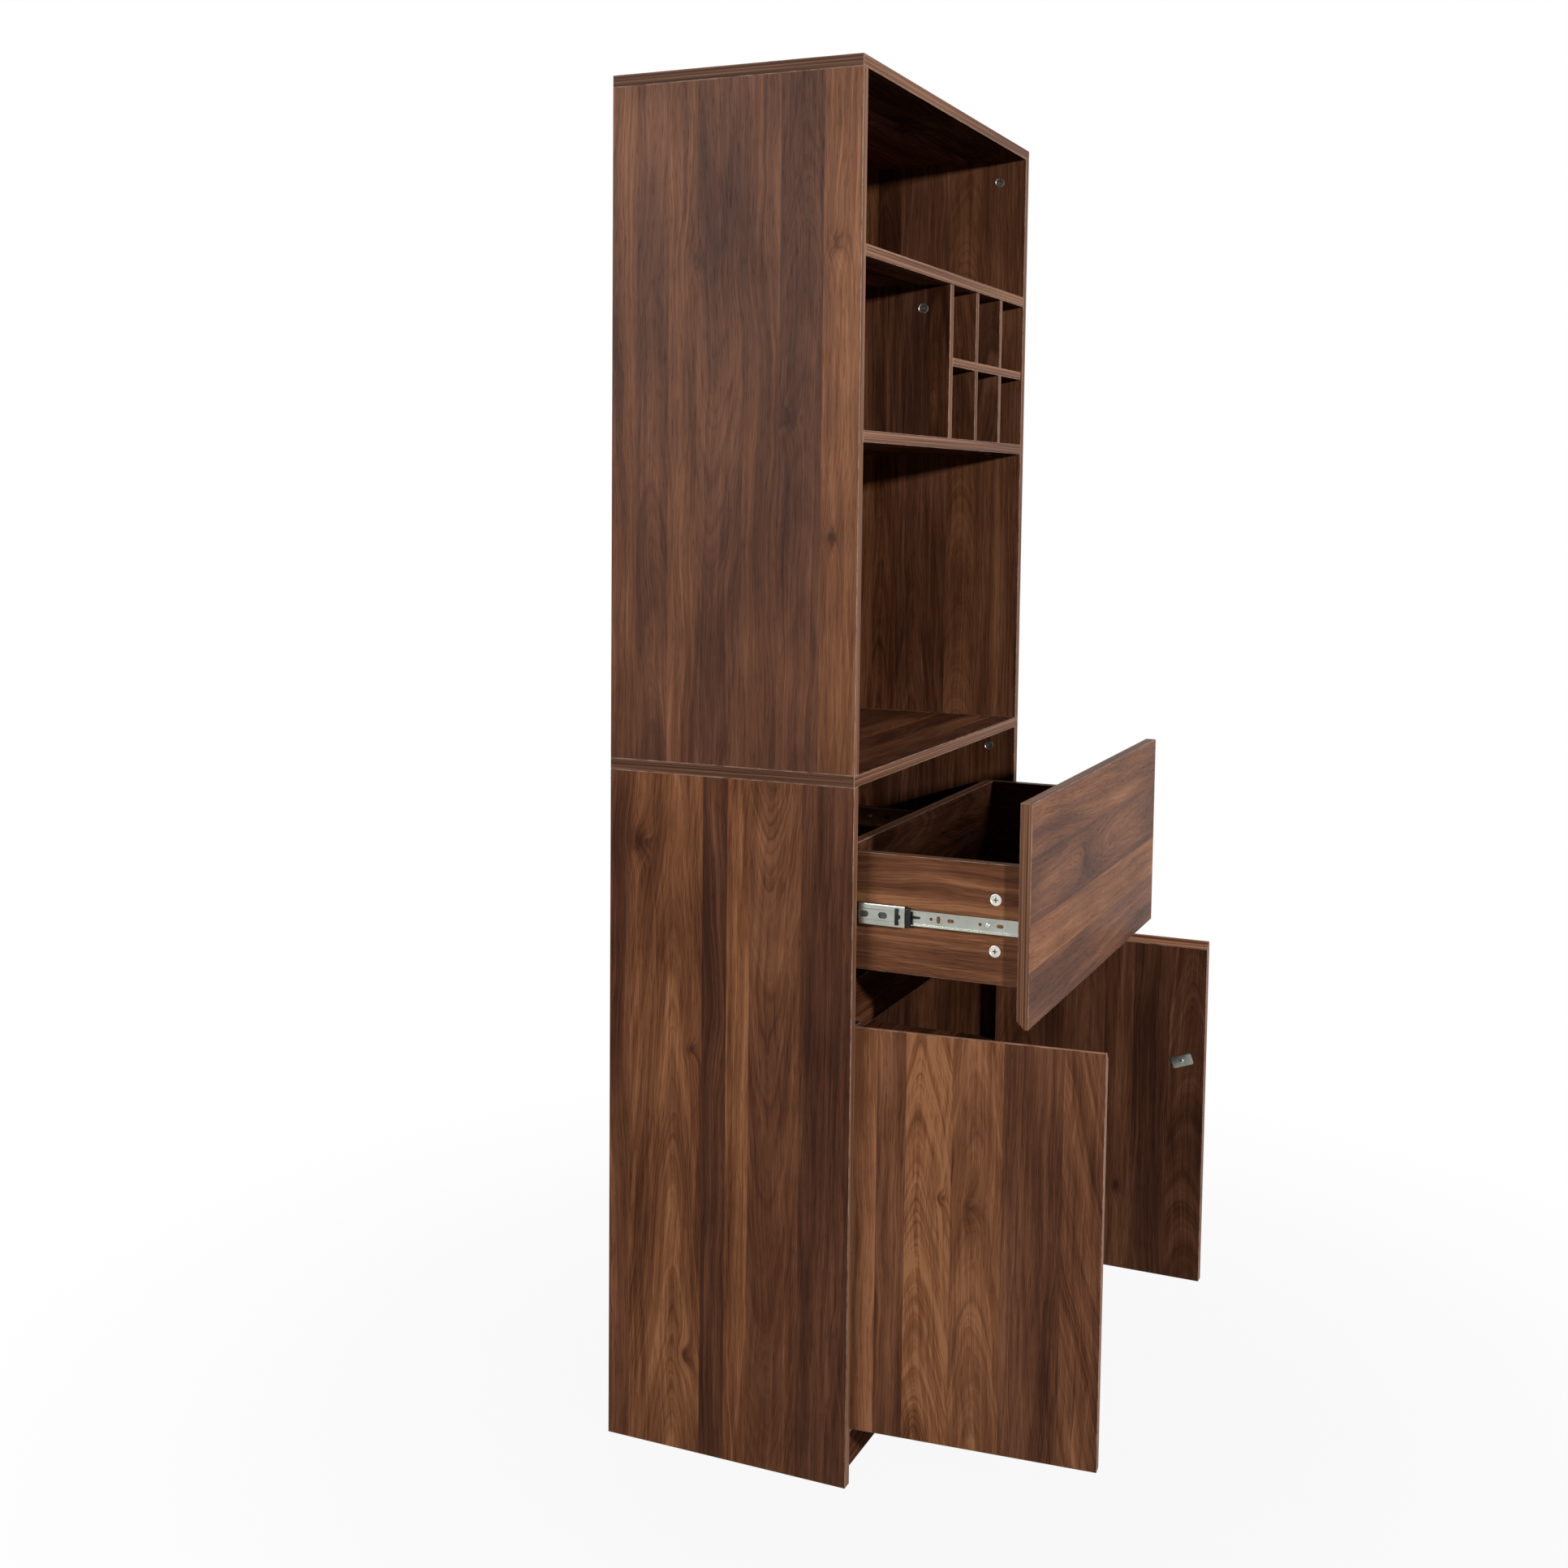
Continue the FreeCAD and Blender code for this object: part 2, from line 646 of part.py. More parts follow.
# Magnet catches on the loose shelf, facing the strike plates
catch_front = strike_y[1] + catch_gap
catch_body_y = span(strike_y[1] + screw_head_height + catch_gap, catch_depth)
catches = []
poles = []
for side in (LEFT, RIGHT):
    middle = -side * strike_x
    body_x = (middle - catch_length / 2, middle + catch_length / 2)
    body = box(body_x, catch_body_y, span(loose_shelf_top, catch_height))
    ear_half = catch_length / 2 + catch_ear
    ears = box((middle - ear_half, middle + ear_half), catch_body_y, span(loose_shelf_top, catch_ear_height))
    catch = one_solid([body, ears])
    for lift in (pole_lift, catch_height - pole_lift - pole_thickness):
        pole = box(
            (middle - pole_length / 2, middle + pole_length / 2),
            span(catch_front, pole_depth),
            span(loose_shelf_top + lift, pole_thickness),
        )
        catch = catch.cut(pole)
        poles.append(pole)
    catches.append(catch)
    for end in (-1, 1):
        ear_middle = middle + end * (ear_half - catch_ear / 2)
        seat = Vector(ear_middle, catch_body_y[1] - catch_ear / 2, loose_shelf_top + catch_ear_height)
        screw(seat, -ALONG_Z, (
            (catch_ear_height, "magnet_catches"),
            (screw_grip, "cupboard_shelf"),
        ), carcass_screws)
shapes["magnet_catches"] = joined_group(catches)
shapes["catch_poles"] = joined_group(poles)
shapes["carcass_screws"] = joined_group(carcass_screws)

# Cut every remembered hole and groove
for node, holes in cutters.items():
    shapes[node] = shapes[node].cut(holes)

# The right door's pieces mirror the left door's
for piece in ("door", "door_bushings", "strike_plate", "strike_screw"):
    shapes["right_" + piece] = mirrored(shapes["left_" + piece])

# Rest pose: the drawer pulled out and both doors open
drawer_out = 224.0
middle_share = 0.5
outer_cage_share = 0.25
inner_cage_share = 0.75
left_open_degrees = 85.0
right_open_degrees = 90.0

for node, shape in shapes.items():
    share = 0
    if node.startswith("drawer_") or node.endswith("slide_inner") or node == "slide_levers":
        share = 1
    elif node.endswith(("slide_middle", "slide_stop")):
        share = middle_share
    elif node.endswith("outer_cage"):
        share = outer_cage_share
    elif node.endswith("inner_cage"):
        share = inner_cage_share
    shape.translate(-ALONG_Y * (drawer_out * share))
for piece in ("door", "door_bushings", "strike_plate", "strike_screw"):
    shapes["left_" + piece].rotate(Vector(pivot_x, pivot_y, 0), ALONG_Z, -left_open_degrees)
    shapes["right_" + piece].rotate(Vector(-pivot_x, pivot_y, 0), ALONG_Z, right_open_degrees)

for node, shape in shapes.items():
    shape.exportStep("parts/" + node + ".step")
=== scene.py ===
import math
import random
from collections import namedtuple

import bpy
from mathutils import Matrix, Vector


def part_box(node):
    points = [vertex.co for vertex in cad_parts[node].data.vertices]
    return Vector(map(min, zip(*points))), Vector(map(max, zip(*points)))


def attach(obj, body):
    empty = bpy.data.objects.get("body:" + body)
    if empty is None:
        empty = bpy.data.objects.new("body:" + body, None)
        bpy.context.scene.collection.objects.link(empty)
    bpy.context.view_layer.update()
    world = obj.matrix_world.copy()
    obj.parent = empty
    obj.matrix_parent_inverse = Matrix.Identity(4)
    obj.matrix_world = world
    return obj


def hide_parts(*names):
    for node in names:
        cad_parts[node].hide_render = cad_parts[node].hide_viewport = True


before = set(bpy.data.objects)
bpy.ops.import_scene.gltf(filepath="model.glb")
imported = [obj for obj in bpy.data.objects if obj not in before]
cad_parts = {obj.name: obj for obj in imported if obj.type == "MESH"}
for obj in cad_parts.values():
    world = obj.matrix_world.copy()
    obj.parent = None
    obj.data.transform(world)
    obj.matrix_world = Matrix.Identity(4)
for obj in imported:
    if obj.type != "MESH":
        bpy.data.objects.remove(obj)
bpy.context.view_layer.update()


# Lower sides
# Two upright panels of 15 mm particle board, printed with walnut staves on both faces. Every edge has
# a band ironed on and scraped, which leaves a pale arris, and the arris is painted paler still as a
# highlight along the edge. They stand on the floor and carry the rest.
X_AXIS = Vector((1, 0, 0))
Y_AXIS = Vector((0, 1, 0))
Z_AXIS = Vector((0, 0, 1))
AXES = (X_AXIS, Y_AXIS, Z_AXIS)
X, Y, Z = range(len(AXES))
arris_width = 0.0006
deepest_heart = 0.1
first_heart = -1.0
heart_span = 3.0
steepest_lean = 0.4
satin = 0.05

Stave = namedtuple("Stave", "width tone warmth heart depth lean figure")


class Field:
    """One socket in a finish. Sums and products of it add Math nodes."""

    def __init__(self, tree, socket):
        self.tree = tree
        self.socket = socket

    def node(self, kind, settings, values, output=0):
        """Adds any other node: its settings first, then the values or links of its sockets."""
        made = self.tree.nodes.new(kind)
        for key, value in settings.items():
            if key == "stops":
                row = made.color_ramp.elements
                row.remove(row[1])
                row[0].position, row[0].color = value[0]
                for spot, colour in value[1:]:
                    row.new(spot).color = colour
            elif key == "steps":
                made.color_ramp.interpolation = value
            else:
                setattr(made, key, value)
        for key, value in values.items():
            if isinstance(value, Field):
                self.tree.links.new(value.socket, made.inputs[key])
            else:
                made.inputs[key].default_value = value
        return Field(self.tree, made.outputs[output])

    def math(self, operation, first, second):
        return self.node("ShaderNodeMath", {"operation": operation}, {0: first, 1: second})

    def math_one(self, operation):
        return self.node("ShaderNodeMath", {"operation": operation}, {0: self})

    def vector(self, operation, other):
        return self.node("ShaderNodeVectorMath", {"operation": operation}, {0: self, 1: other})

    def scaled(self, factor):
        return self.node("ShaderNodeVectorMath", {"operation": "SCALE"}, {0: self, "Scale": factor})

    def __add__(self, other):
        return self.math("ADD", self, other)

    def __radd__(self, other):
        return self.math("ADD", other, self)

    def __sub__(self, other):
        return self.math("SUBTRACT", self, other)

    def __rsub__(self, other):
        return self.math("SUBTRACT", other, self)

    def __mul__(self, other):
        return self.math("MULTIPLY", self, other)

    def __truediv__(self, other):
        return self.math("DIVIDE", self, other)

    def __rtruediv__(self, other):
        return self.math("DIVIDE", other, self)

    def __pow__(self, other):
        return self.math("POWER", self, other)


def new_finish(name):
    """An empty finish, its shader and the point of the piece that is being coloured."""
    finish = bpy.data.materials.new(name)
    finish.use_nodes = True
    tree = finish.node_tree
    shader = tree.nodes["Principled BSDF"]
    coordinates = tree.nodes.new("ShaderNodeTexCoord")
    return finish, shader, Field(tree, coordinates.outputs["Object"])


def feed(shader, **fields):
    """Links fields to the shader's sockets; a name's underscores stand for spaces."""
    for name, field in fields.items():
        field.tree.links.new(field.socket, shader.inputs[name.replace("_", " ")])


def reading(point, axis, corner):
    """How far the point is from the corner, measured along an axis, in metres."""
    along = point.node("ShaderNodeVectorMath", {"operation": "DOT_PRODUCT"}, {0: point, 1: axis}, "Value")
    return along - axis.dot(corner)


def speckle(spot, scale, detail, roughness):
    """Soft noise over a vector, mostly between 0.2 and 0.8."""
    values = {"Vector": spot, "Scale": scale, "Detail": detail, "Roughness": roughness}
    return spot.node("ShaderNodeTexNoise", {}, values)


def cloud(first, second, third, detail, roughness):
    """The same noise over three numbers."""
    spot = first.node("ShaderNodeCombineXYZ", {}, {0: first, 1: second, 2: third})
    return speckle(spot, 1.0, detail, roughness)


def ramp(share, stops, steps="LINEAR"):
    """The colour at a place in a row of colours."""
    return share.node("ShaderNodeValToRGB", {"steps": steps, "stops": stops}, {0: share})


def parts(colour):
    """The three numbers that make a colour."""
    return [colour.node("ShaderNodeSeparateColor", {}, {0: colour}, k) for k in range(3)]


def rise(field, low, high):
    """0 below low, 1 above high and a smooth step between."""
    limits = {"Value": field, "From Min": low, "From Max": high}
    return field.node("ShaderNodeMapRange", {"interpolation_type": "SMOOTHSTEP"}, limits)


def blend(share, first, second):
    """A colour between two colours."""
    return share.node("ShaderNodeMix", {"data_type": "RGBA"}, {0: share, 6: first, 7: second}, 2)


def bumped(height, distance, strength):
    """The normal of a surface that rises and falls with a field."""
    values = {"Height": height, "Distance": distance, "Strength": strength}
    return height.node("ShaderNodeBump", {}, values, "Normal")


purple_walnut = [
    (0.0, (0.034, 0.0125, 0.0070, 1)),
    (0.3, (0.066, 0.0250, 0.0140, 1)),
    (0.55, (0.106, 0.0425, 0.0235, 1)),
    (0.8, (0.158, 0.0660, 0.0365, 1)),
    (1.0, (0.220, 0.0980, 0.0550, 1)),
]
orange_walnut = [
    (0.0, (0.036, 0.0115, 0.0054, 1)),
    (0.3, (0.075, 0.0260, 0.0115, 1)),
    (0.55, (0.128, 0.0475, 0.0205, 1)),
    (0.8, (0.198, 0.0790, 0.0340, 1)),
    (1.0, (0.285, 0.1240, 0.0560, 1)),
]


# How the rings wander, in wide bends, in waves and in ripples: how many to a metre across the stave and
# along it, a shift of the seed, and how far they go.
wanderings = ((5.0, 2.4, 0.0, 0.04), (22.0, 7.0, 3.0, 0.014), (90.0, 24.0, 7.0, 0.0026))


def walnut(name, across, along, corner, staves, knots, seed, grit=1.0, sheen=0.0):
    """A print of walnut staves side by side, each with its own heart, tone and lines of growth.

    A stave's lines are slices of a tree's rings: `heart` is where the tree's middle lies across the
    stave, `depth` how far behind the face and `lean` how fast the rings drift along it. `tone` is how
    light the stave is, `warmth` how orange, and `figure` how strong its lines are. A knot is its place
    across and along the board, and its size. `grit` is the strength of fibres and pores, and `sheen`
    how much the face mirrors.
    """
    finish, shader, point = new_finish(name)
    u = reading(point, across, corner)
    v = reading(point, along, corner)
    width = sum(stave.width for stave in staves)
    tones = []
    hearts = []
    edge = 0.0
    for stave in staves:
        middle = (edge + stave.heart * stave.width) / width
        tones.append((edge / width, (stave.tone, stave.warmth, stave.figure, 1)))
        lean = stave.lean / steepest_lean / 2 + 0.5
        heart = (middle - first_heart) / heart_span
        hearts.append((edge / width, (heart, stave.depth / deepest_heart, lean, 1)))
        edge += stave.width
    share = u / width
    tone, warmth, figure = parts(ramp(share, tones, "CONSTANT"))
    heart, depth, lean = parts(ramp(share, hearts, "CONSTANT"))
    own = heart * 61.0 + tone * 37.0 + seed
    off = u - (heart * heart_span + first_heart) * width
    depth = depth * deepest_heart
    ring = (off * off + depth * depth) ** 0.5 + (lean - 0.5) * (2 * steepest_lean) * v
    # The rings wander, and they run round the knots.
    drift = u * 0.0
    shade = u * 0.0
    for bends_across, bends_along, shift, reach in wanderings:
        drift = drift + (cloud(u * bends_across, v * bends_along, own + shift, 1.0, 0.5) - 0.5) * reach
    for knot_u, knot_v, size in knots:
        knot_off = (u - knot_u) / size
        knot_on = (v - knot_v) / (size * 1.5)
        near = 1 / (1 + knot_off * knot_off + knot_on * knot_on)
        drift = drift + near * (size * 1.5)
        shade = shade + near ** 2 * cloud(u * 120.0, v * 70.0, own, 2.0, 0.5)
    ring = ring + drift
    strand = u + drift
    # The rings themselves: fine lines, broad bands, and the dark late wood that ends each ring.
    growth = cloud(ring * 170.0, v * 3.0, own, 4.0, 0.62) - 0.5
    broad = cloud(ring * 24.0, v * 2.0, own + 5.0, 2.0, 0.5) - 0.5
    saw = (ring * 260.0 + cloud(ring * 40.0, v * 2.5, own + 11.0, 1.0, 0.5) * 2.0).math_one("FRACT")
    late = rise(saw, 0.55, 0.96) * (1 - rise(saw, 0.96, 1.0))
    late = late * rise(cloud(ring * 34.0, v * 4.0, own + 17.0, 1.0, 0.5), 0.42, 0.66)
    # What lies along the fibres: clouds, streaks, fibres, bright lines and pores.
    blotch = cloud(u * 13.0, v * 5.0, own + 9.0, 3.0, 0.55) - 0.5
    streak = cloud(strand * 150.0, v * 1.8, own + 2.0, 4.0, 0.66) - 0.5
    fibre = cloud(strand * 620.0, v * 10.0, own, 3.0, 0.6) - 0.5
    spark = rise(cloud(strand * 300.0, v * 1.5, own + 13.0, 2.0, 0.5), 0.62, 0.70)
    pores = rise(cloud(strand * 800.0, v * 42.0, own, 1.0, 0.5), 0.55, 0.68)
    value = tone + 0.02 + (growth * 1.3 - late * 0.24) * figure + broad * 0.9 + blotch * 0.75
    value = value + (streak + fibre * 0.62 + spark * 0.14 - pores * 0.16) * grit - shade * 0.8
    feed(
        shader,
        Base_Color=blend(warmth, ramp(value, purple_walnut), ramp(value, orange_walnut)),
        Roughness=0.44 + fibre * 0.12 + pores * 0.08,
        Normal=bumped(fibre * 0.5 - pores, 0.0003, 0.12),
    )
    shader.inputs["Specular IOR Level"].default_value = sheen
    return finish


narrow_stave = 0.035
wide_stave = 0.085
smallest_rest = 0.025
cathedral_share = 0.45
tone_spread = 0.16


def staves_from(seed, width, tone):
    """A run of staves of ordinary widths and tones for a board of some width."""
    chance = random.Random(seed)
    run = []
    left = width
    while left > 0:
        wide = min(left, chance.uniform(narrow_stave, wide_stave))
        if left - wide < smallest_rest:
            wide = left
        cathedral = chance.random() < cathedral_share
        heart = chance.uniform(0.3, 0.7) if cathedral else chance.choice((-1.6, 2.6))
        lean = chance.uniform(0.08, 0.25) if cathedral else chance.uniform(-0.03, 0.03)
        run.append(Stave(
            wide, tone + chance.uniform(-tone_spread, tone_spread), chance.uniform(0.1, 0.9), heart,
            chance.uniform(0.008, 0.03), lean, chance.uniform(0.5, 0.9),
        ))
        left -= wide
    return run


def edge_band(name, run, strength=1.0):
    """The band on an edge: fine straight lines along the edge. Its colours are scaled by `strength`."""
    finish, shader, point = new_finish(name)
    along = reading(point, run, Vector())
    lengthwise = point.node("ShaderNodeVectorMath", {"operation": "SCALE"}, {0: run, "Scale": along})
    aside = point.vector("SUBTRACT", lengthwise)
    lines = speckle(aside.scaled(460.0).vector("ADD", lengthwise.scaled(1.6)), 1.0, 4.0, 0.6)
    colours = [
        (0.34, (0.050, 0.0195, 0.0105)),
        (0.49, (0.145, 0.0650, 0.0370)),
        (0.64, (0.275, 0.1400, 0.0860)),
    ]
    stops = [(place, (*(strength * part for part in colour), 1)) for place, colour in colours]
    feed(
        shader,
        Base_Color=ramp(lines, stops),
        Roughness=0.38 + lines * 0.2,
    )
    shader.inputs["Specular IOR Level"].default_value = satin
    return finish


def scraped_arris():
    """The line where band and face meet, scraped pale and painted paler still as a highlight, with worn and
    darker stretches.
    """
    finish, shader, point = new_finish("scraped_arris")
    worn = speckle(point, 55.0, 3.0, 0.6)
    stops = [(0.35, (0.130, 0.0700, 0.0460, 1)), (0.65, (0.340, 0.2350, 0.1750, 1))]
    feed(
        shader,
        Base_Color=ramp(worn, stops),
        Roughness=0.35 + worn * 0.25,
    )
    shader.inputs["Specular IOR Level"].default_value = satin
    return finish


bands = [
    edge_band("edge_band_x", X_AXIS),
    edge_band("edge_band_y", Y_AXIS, 0.62),
    edge_band("edge_band_z", Z_AXIS),
]
arris_finish = scraped_arris()


def pick(piece):
    """Makes one piece the only selected and active one."""
    bpy.ops.object.select_all(action="DESELECT")
    piece.select_set(True)
    bpy.context.view_layer.objects.active = piece


def open_edges(piece, test):
    """Opens a piece for editing with only those edges picked whose two ends pass a test."""
    pick(piece)
    bpy.ops.object.mode_set(mode="EDIT")
    bpy.ops.mesh.select_mode(type="EDGE")
    bpy.ops.mesh.select_all(action="DESELECT")
    bpy.ops.object.mode_set(mode="OBJECT")
    points = piece.data.vertices
    for edge in piece.data.edges:
        edge.select = test(*(points[index].co for index in edge.vertices))
    bpy.ops.object.mode_set(mode="EDIT")


def every_edge(start, end):
    """The test that every edge passes."""
    return True


def round_edges(piece, test, radius, segments, finish=-1):
    """Rounds those edges whose two ends pass a test. `finish` is the slot of the new faces' finish."""
    open_edges(piece, test)
    bpy.ops.mesh.bevel(offset=radius, segments=segments, material=finish)
    bpy.ops.object.mode_set(mode="OBJECT")


def settle(piece, node, body):
    """Hangs a finished piece on its body and hides the CAD node that it stands for."""
    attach(piece, body)
    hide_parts(node)


def block(name, low, high):
    """A block between two corners, the start of most pieces."""
    bpy.ops.object.select_all(action="DESELECT")
    bpy.ops.mesh.primitive_cube_add(size=1, location=(low + high) / 2)
    piece = bpy.context.object
    piece.name = name
    piece.data.name = name
    piece.scale = high - low
    bpy.ops.object.transform_apply(location=True, rotation=True, scale=True)
    return piece


FACE, LONG_EDGE, END_EDGE, ARRIS = range(4)


def cut_board(name, low, high, thick, grain, face, grip=None):
    """A panel with banded edges and scraped arrises that carry a painted highlight.

    `thick` and `grain` are the axes across the thickness and along the grain. `grip` picks the edge
    that is cut back at 45 degrees for the fingers.
    """
    piece = block(name, low, high)
    cross = 3 - thick - grain
    for finish in (face, bands[grain], bands[cross], arris_finish):
        piece.data.materials.append(finish)
    for side in piece.data.polygons:
        axis = max(range(3), key=lambda k: abs(side.normal[k]))
        side.material_index = {thick: FACE, cross: LONG_EDGE, grain: END_EDGE}[axis]
    if grip:
        round_edges(piece, grip, finger_bevel, 1, LONG_EDGE)
    round_edges(piece, every_edge, arris_width, 2, ARRIS)
    return piece


boards = {}


def fit_board(node, thick, grain, staves, seed, knots=(), body="carcass", grip=None, grit=1.0, sheen=0.0):
    """A board in the place of a CAD node that lies square to the axes.

    Its staves run from the node's low corner, and on an upright board from the back to the front.
    """
    low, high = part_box(node)
    across = AXES[3 - thick - grain]
    corner = low
    if grain == Z:
        across = -Y_AXIS
        corner = Vector((0, high.y, 0))
    face = walnut("walnut_" + node, across, AXES[grain], corner, staves, knots, seed, grit, sheen)
    piece = cut_board(node.replace("_board", "") + "_panel", low, high, thick, grain, face, grip)
    settle(piece, node, body)
    boards[node] = piece


lower_left_staves = [
    Stave(0.030, 0.46, 0.60, -1.6, 0.020, 0.010, 0.60),
    Stave(0.105, 0.58, 0.95, 0.62, 0.010, 0.130, 0.80),
    Stave(0.036, 0.26, 0.30, -1.8, 0.020, 0.010, 0.70),
    Stave(0.032, 0.62, 0.95, 2.60, 0.015, 0.015, 0.80),
    Stave(0.071, 0.46, 0.50, 0.40, 0.022, -0.120, 0.70),
    Stave(0.071, 0.33, 0.15, 2.20, 0.025, 0.020, 0.60),
]
lower_left_knots = [(0.047, 0.813, 0.016), (0.115, 0.130, 0.010), (0.120, 0.545, 0.008)]
fit_board("lower_left_side", X, Z, lower_left_staves, 3.0, lower_left_knots, sheen=satin)
lower_right_knots = [(0.21, 0.30, 0.012), (0.10, 0.62, 0.010)]
# The lower right side is printed a darker tone than the others: painted shade for the dim cupboard.
fit_board("lower_right_side", X, Z, staves_from(11, 0.345, 0.30), 8.0, lower_right_knots)

# Bottom board, kick board and front rail
# Three boards between the lower sides. The kick board closes the foot, the rail ties the sides together
# behind the finger gap, and all of them are drawn tight by cams from their hidden faces.
fit_board("bottom_board", Z, X, staves_from(21, 0.319, 0.45), 12.0)
fit_board("kick_board", Y, X, staves_from(23, 0.053, 0.42), 15.0)
fit_board("front_rail", Y, X, staves_from(27, 0.070, 0.42), 17.0)

# Countertop
# The board between the lower and the upper unit, made as the sides are. Its edges show all round, in line
# with the sides. Cams in the lower sides draw it down and dowels keep it in line.
fit_board("countertop", Z, X, staves_from(31, 0.345, 0.45), 21.0, [(0.2, 0.25, 0.014)], sheen=satin)

# Upper sides and top board
# Boards of the same make that stand on the countertop. The top board lies on the sides with its edge in
# sight, and cams in the sides draw it down.
upper_left_sheen = 0.085
# The upper left side's staves are printed less orange than the lower side's: partly print, partly painted
# sheen, the greyish haze of a reflection.
upper_left_staves = [
    Stave(0.036, 0.49, 0.45, -1.5, 0.020, 0.010, 0.45),
    Stave(0.046, 0.44, 0.15, 0.50, 0.016, 0.090, 0.40),
    Stave(0.040, 0.50, 0.40, 2.40, 0.018, 0.010, 0.45),
    Stave(0.065, 0.44, 0.10, 0.40, 0.020, -0.100, 0.45),
    Stave(0.050, 0.46, 0.25, -1.2, 0.020, 0.020, 0.40),
    Stave(0.058, 0.44, 0.05, 0.60, 0.024, 0.100, 0.50),
    Stave(0.050, 0.64, 0.75, 2.00, 0.014, 0.015, 0.60),
]
upper_left_knots = [
    (0.312, 1.574, 0.009), (0.308, 1.215, 0.009), (0.250, 1.363, 0.012), (0.120, 1.560, 0.009)]
fit_board(
    "upper_left_side", X, Z, upper_left_staves, 31.0, upper_left_knots, grit=0.95, sheen=upper_left_sheen)
fit_board("upper_right_side", X, Z, staves_from(43, 0.345, 0.46), 36.0, [(0.15, 1.46, 0.010)])
# The top board is printed a darker tone than the sides: painted shade for the dim upper bay.
fit_board("top_board", Z, X, staves_from(47, 0.345, 0.36), 41.0, [(0.1, 0.4, 0.013)])

# Fixed shelves, divider and bottle rack
# Two shelves hold a full-depth divider between them. Right of it a thinner shelf and two thin dividers
# are halved into one another and make six cells for bottles.
lap_play = 0.0001
board_edge = 0.001


def cut(piece, cutter):
    """Takes a cutter's shape out of a piece and throws the cutter away."""
    pick(piece)
    trim = piece.modifiers.new("cut", "BOOLEAN")
    trim.operation = "DIFFERENCE"
    trim.solver = "EXACT"
    trim.object = cutter
    bpy.ops.object.modifier_apply(modifier=trim.name)
    bpy.data.objects.remove(cutter)


# The shelves and dividers are printed a darker tone than the sides: painted shade for the dim bays.
for number, node in enumerate(("upper_shelf", "lower_shelf", "rack_shelf")):
    shelf_low, shelf_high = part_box(node)
    shelf_staves = staves_from(51 + number, shelf_high.y - shelf_low.y, 0.36)
    fit_board(node, Z, X, shelf_staves, 44.0 + number)
for number, node in enumerate(("rack_divider", "bottle_divider_1", "bottle_divider_2")):
    divider_low, divider_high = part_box(node)
    divider_staves = staves_from(61 + number, divider_high.y - divider_low.y, 0.34)
    fit_board(node, X, Z, divider_staves, 51.0 + number)
rack_low, rack_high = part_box("rack_shelf")
lap_y = (rack_low.y + rack_high.y) / 2
for node in ("bottle_divider_1", "bottle_divider_2"):
    divider_low, divider_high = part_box(node)
    play = Vector((lap_play, lap_play, lap_play))
    front_half = Vector((divider_low.x, rack_low.y - board_edge, rack_low.z))
    back_half = Vector((divider_high.x, rack_high.y + board_edge, rack_high.z))
    notch_end = Vector((divider_high.x + board_edge, lap_y, rack_high.z))
    cut(boards[node], block("notch", front_half - play - X_AXIS * board_edge, notch_end + play))
    slot_start = Vector((divider_low.x, lap_y, rack_low.z - board_edge))
    cut(boards["rack_shelf"], block("notch", slot_start - play, back_half + play + Z_AXIS * board_edge))

# Back panels
# Sheets of thin hardboard, printed with walnut on the inside and bare brown on the outside. They are slid
# into grooves in the boards around them.
panel_edge = 0.0004
square_on = 0.9


def bare_hardboard():
    """The unprinted side of the panel: brown pressed fibre with flecks."""
    finish, shader, point = new_finish("bare_hardboard")
    fleck = speckle(point, 420.0, 5.0, 0.7)
    wide = speckle(point, 6.0, 2.0, 0.5)
    stops = [
        (0.25, (0.115, 0.0650, 0.0370, 1)),
        (0.5, (0.205, 0.1240, 0.0710, 1)),
        (0.78, (0.300, 0.1950, 0.1180, 1)),
    ]
    mixed = fleck * 0.7 + wide * 0.3
    feed(
        shader,
        Base_Color=ramp(mixed, stops),
        Roughness=0.6 + fleck * 0.25,
        Normal=bumped(fleck, 0.0004, 0.3),
    )
    return finish


hardboard = bare_hardboard()


def back_panel(node, seed):
    """A thin panel with its print towards the inside of the cabinet."""
    low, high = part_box(node)
    piece = block(node + "_sheet", low, high)
    face = walnut("walnut_" + node, X_AXIS, Z_AXIS, low, staves_from(seed, high.x - low.x, 0.42), [], seed)
    piece.data.materials.append(hardboard)
    piece.data.materials.append(face)
    for side in piece.data.polygons:
        side.material_index = 1 if side.normal.y < -square_on else 0
    round_edges(piece, every_edge, panel_edge, 1, 0)
    settle(piece, node, "carcass")


back_panel("lower_back_panel", 71)
back_panel("upper_back_panel", 73)

# Loose shelf
# A board of the same make that lies on four pins in the cupboard. The two magnet catches are screwed to
# it behind the doors.
fit_board("cupboard_shelf", Z, X, staves_from(81, 0.312, 0.42), 61.0)

# Drawer box
# Two sides and a back of the same board, a thin bottom in grooves. The sides' outer faces show the
# cams that pull the front on.
# The drawer sides are printed paler than the cabinet's sides: partly print, partly painted light.
drawer_side_staves = [
    Stave(0.052, 0.64, 0.45, 2.40, 0.020, 0.020, 0.70),
    Stave(0.046, 0.78, 0.75, 0.40, 0.012, -0.025, 0.75),
    Stave(0.052, 0.67, 0.50, -1.4, 0.020, 0.030, 0.70),
]
drawer_side_knots = [(0.07, 0.19, 0.010)]
for number, node in enumerate(("drawer_left_side", "drawer_right_side")):
    fit_board(node, X, Y, drawer_side_staves, 71.0 + number, drawer_side_knots, "drawer", sheen=satin)
fit_board("drawer_back", Y, X, staves_from(91, 0.150, 0.44), 75.0, body="drawer")
drawer_bottom_low, drawer_bottom_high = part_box("drawer_bottom")
drawer_bottom_staves = staves_from(93, drawer_bottom_high.y - drawer_bottom_low.y, 0.42)
fit_board("drawer_bottom", Z, X, drawer_bottom_staves, 77.0, body="drawer")

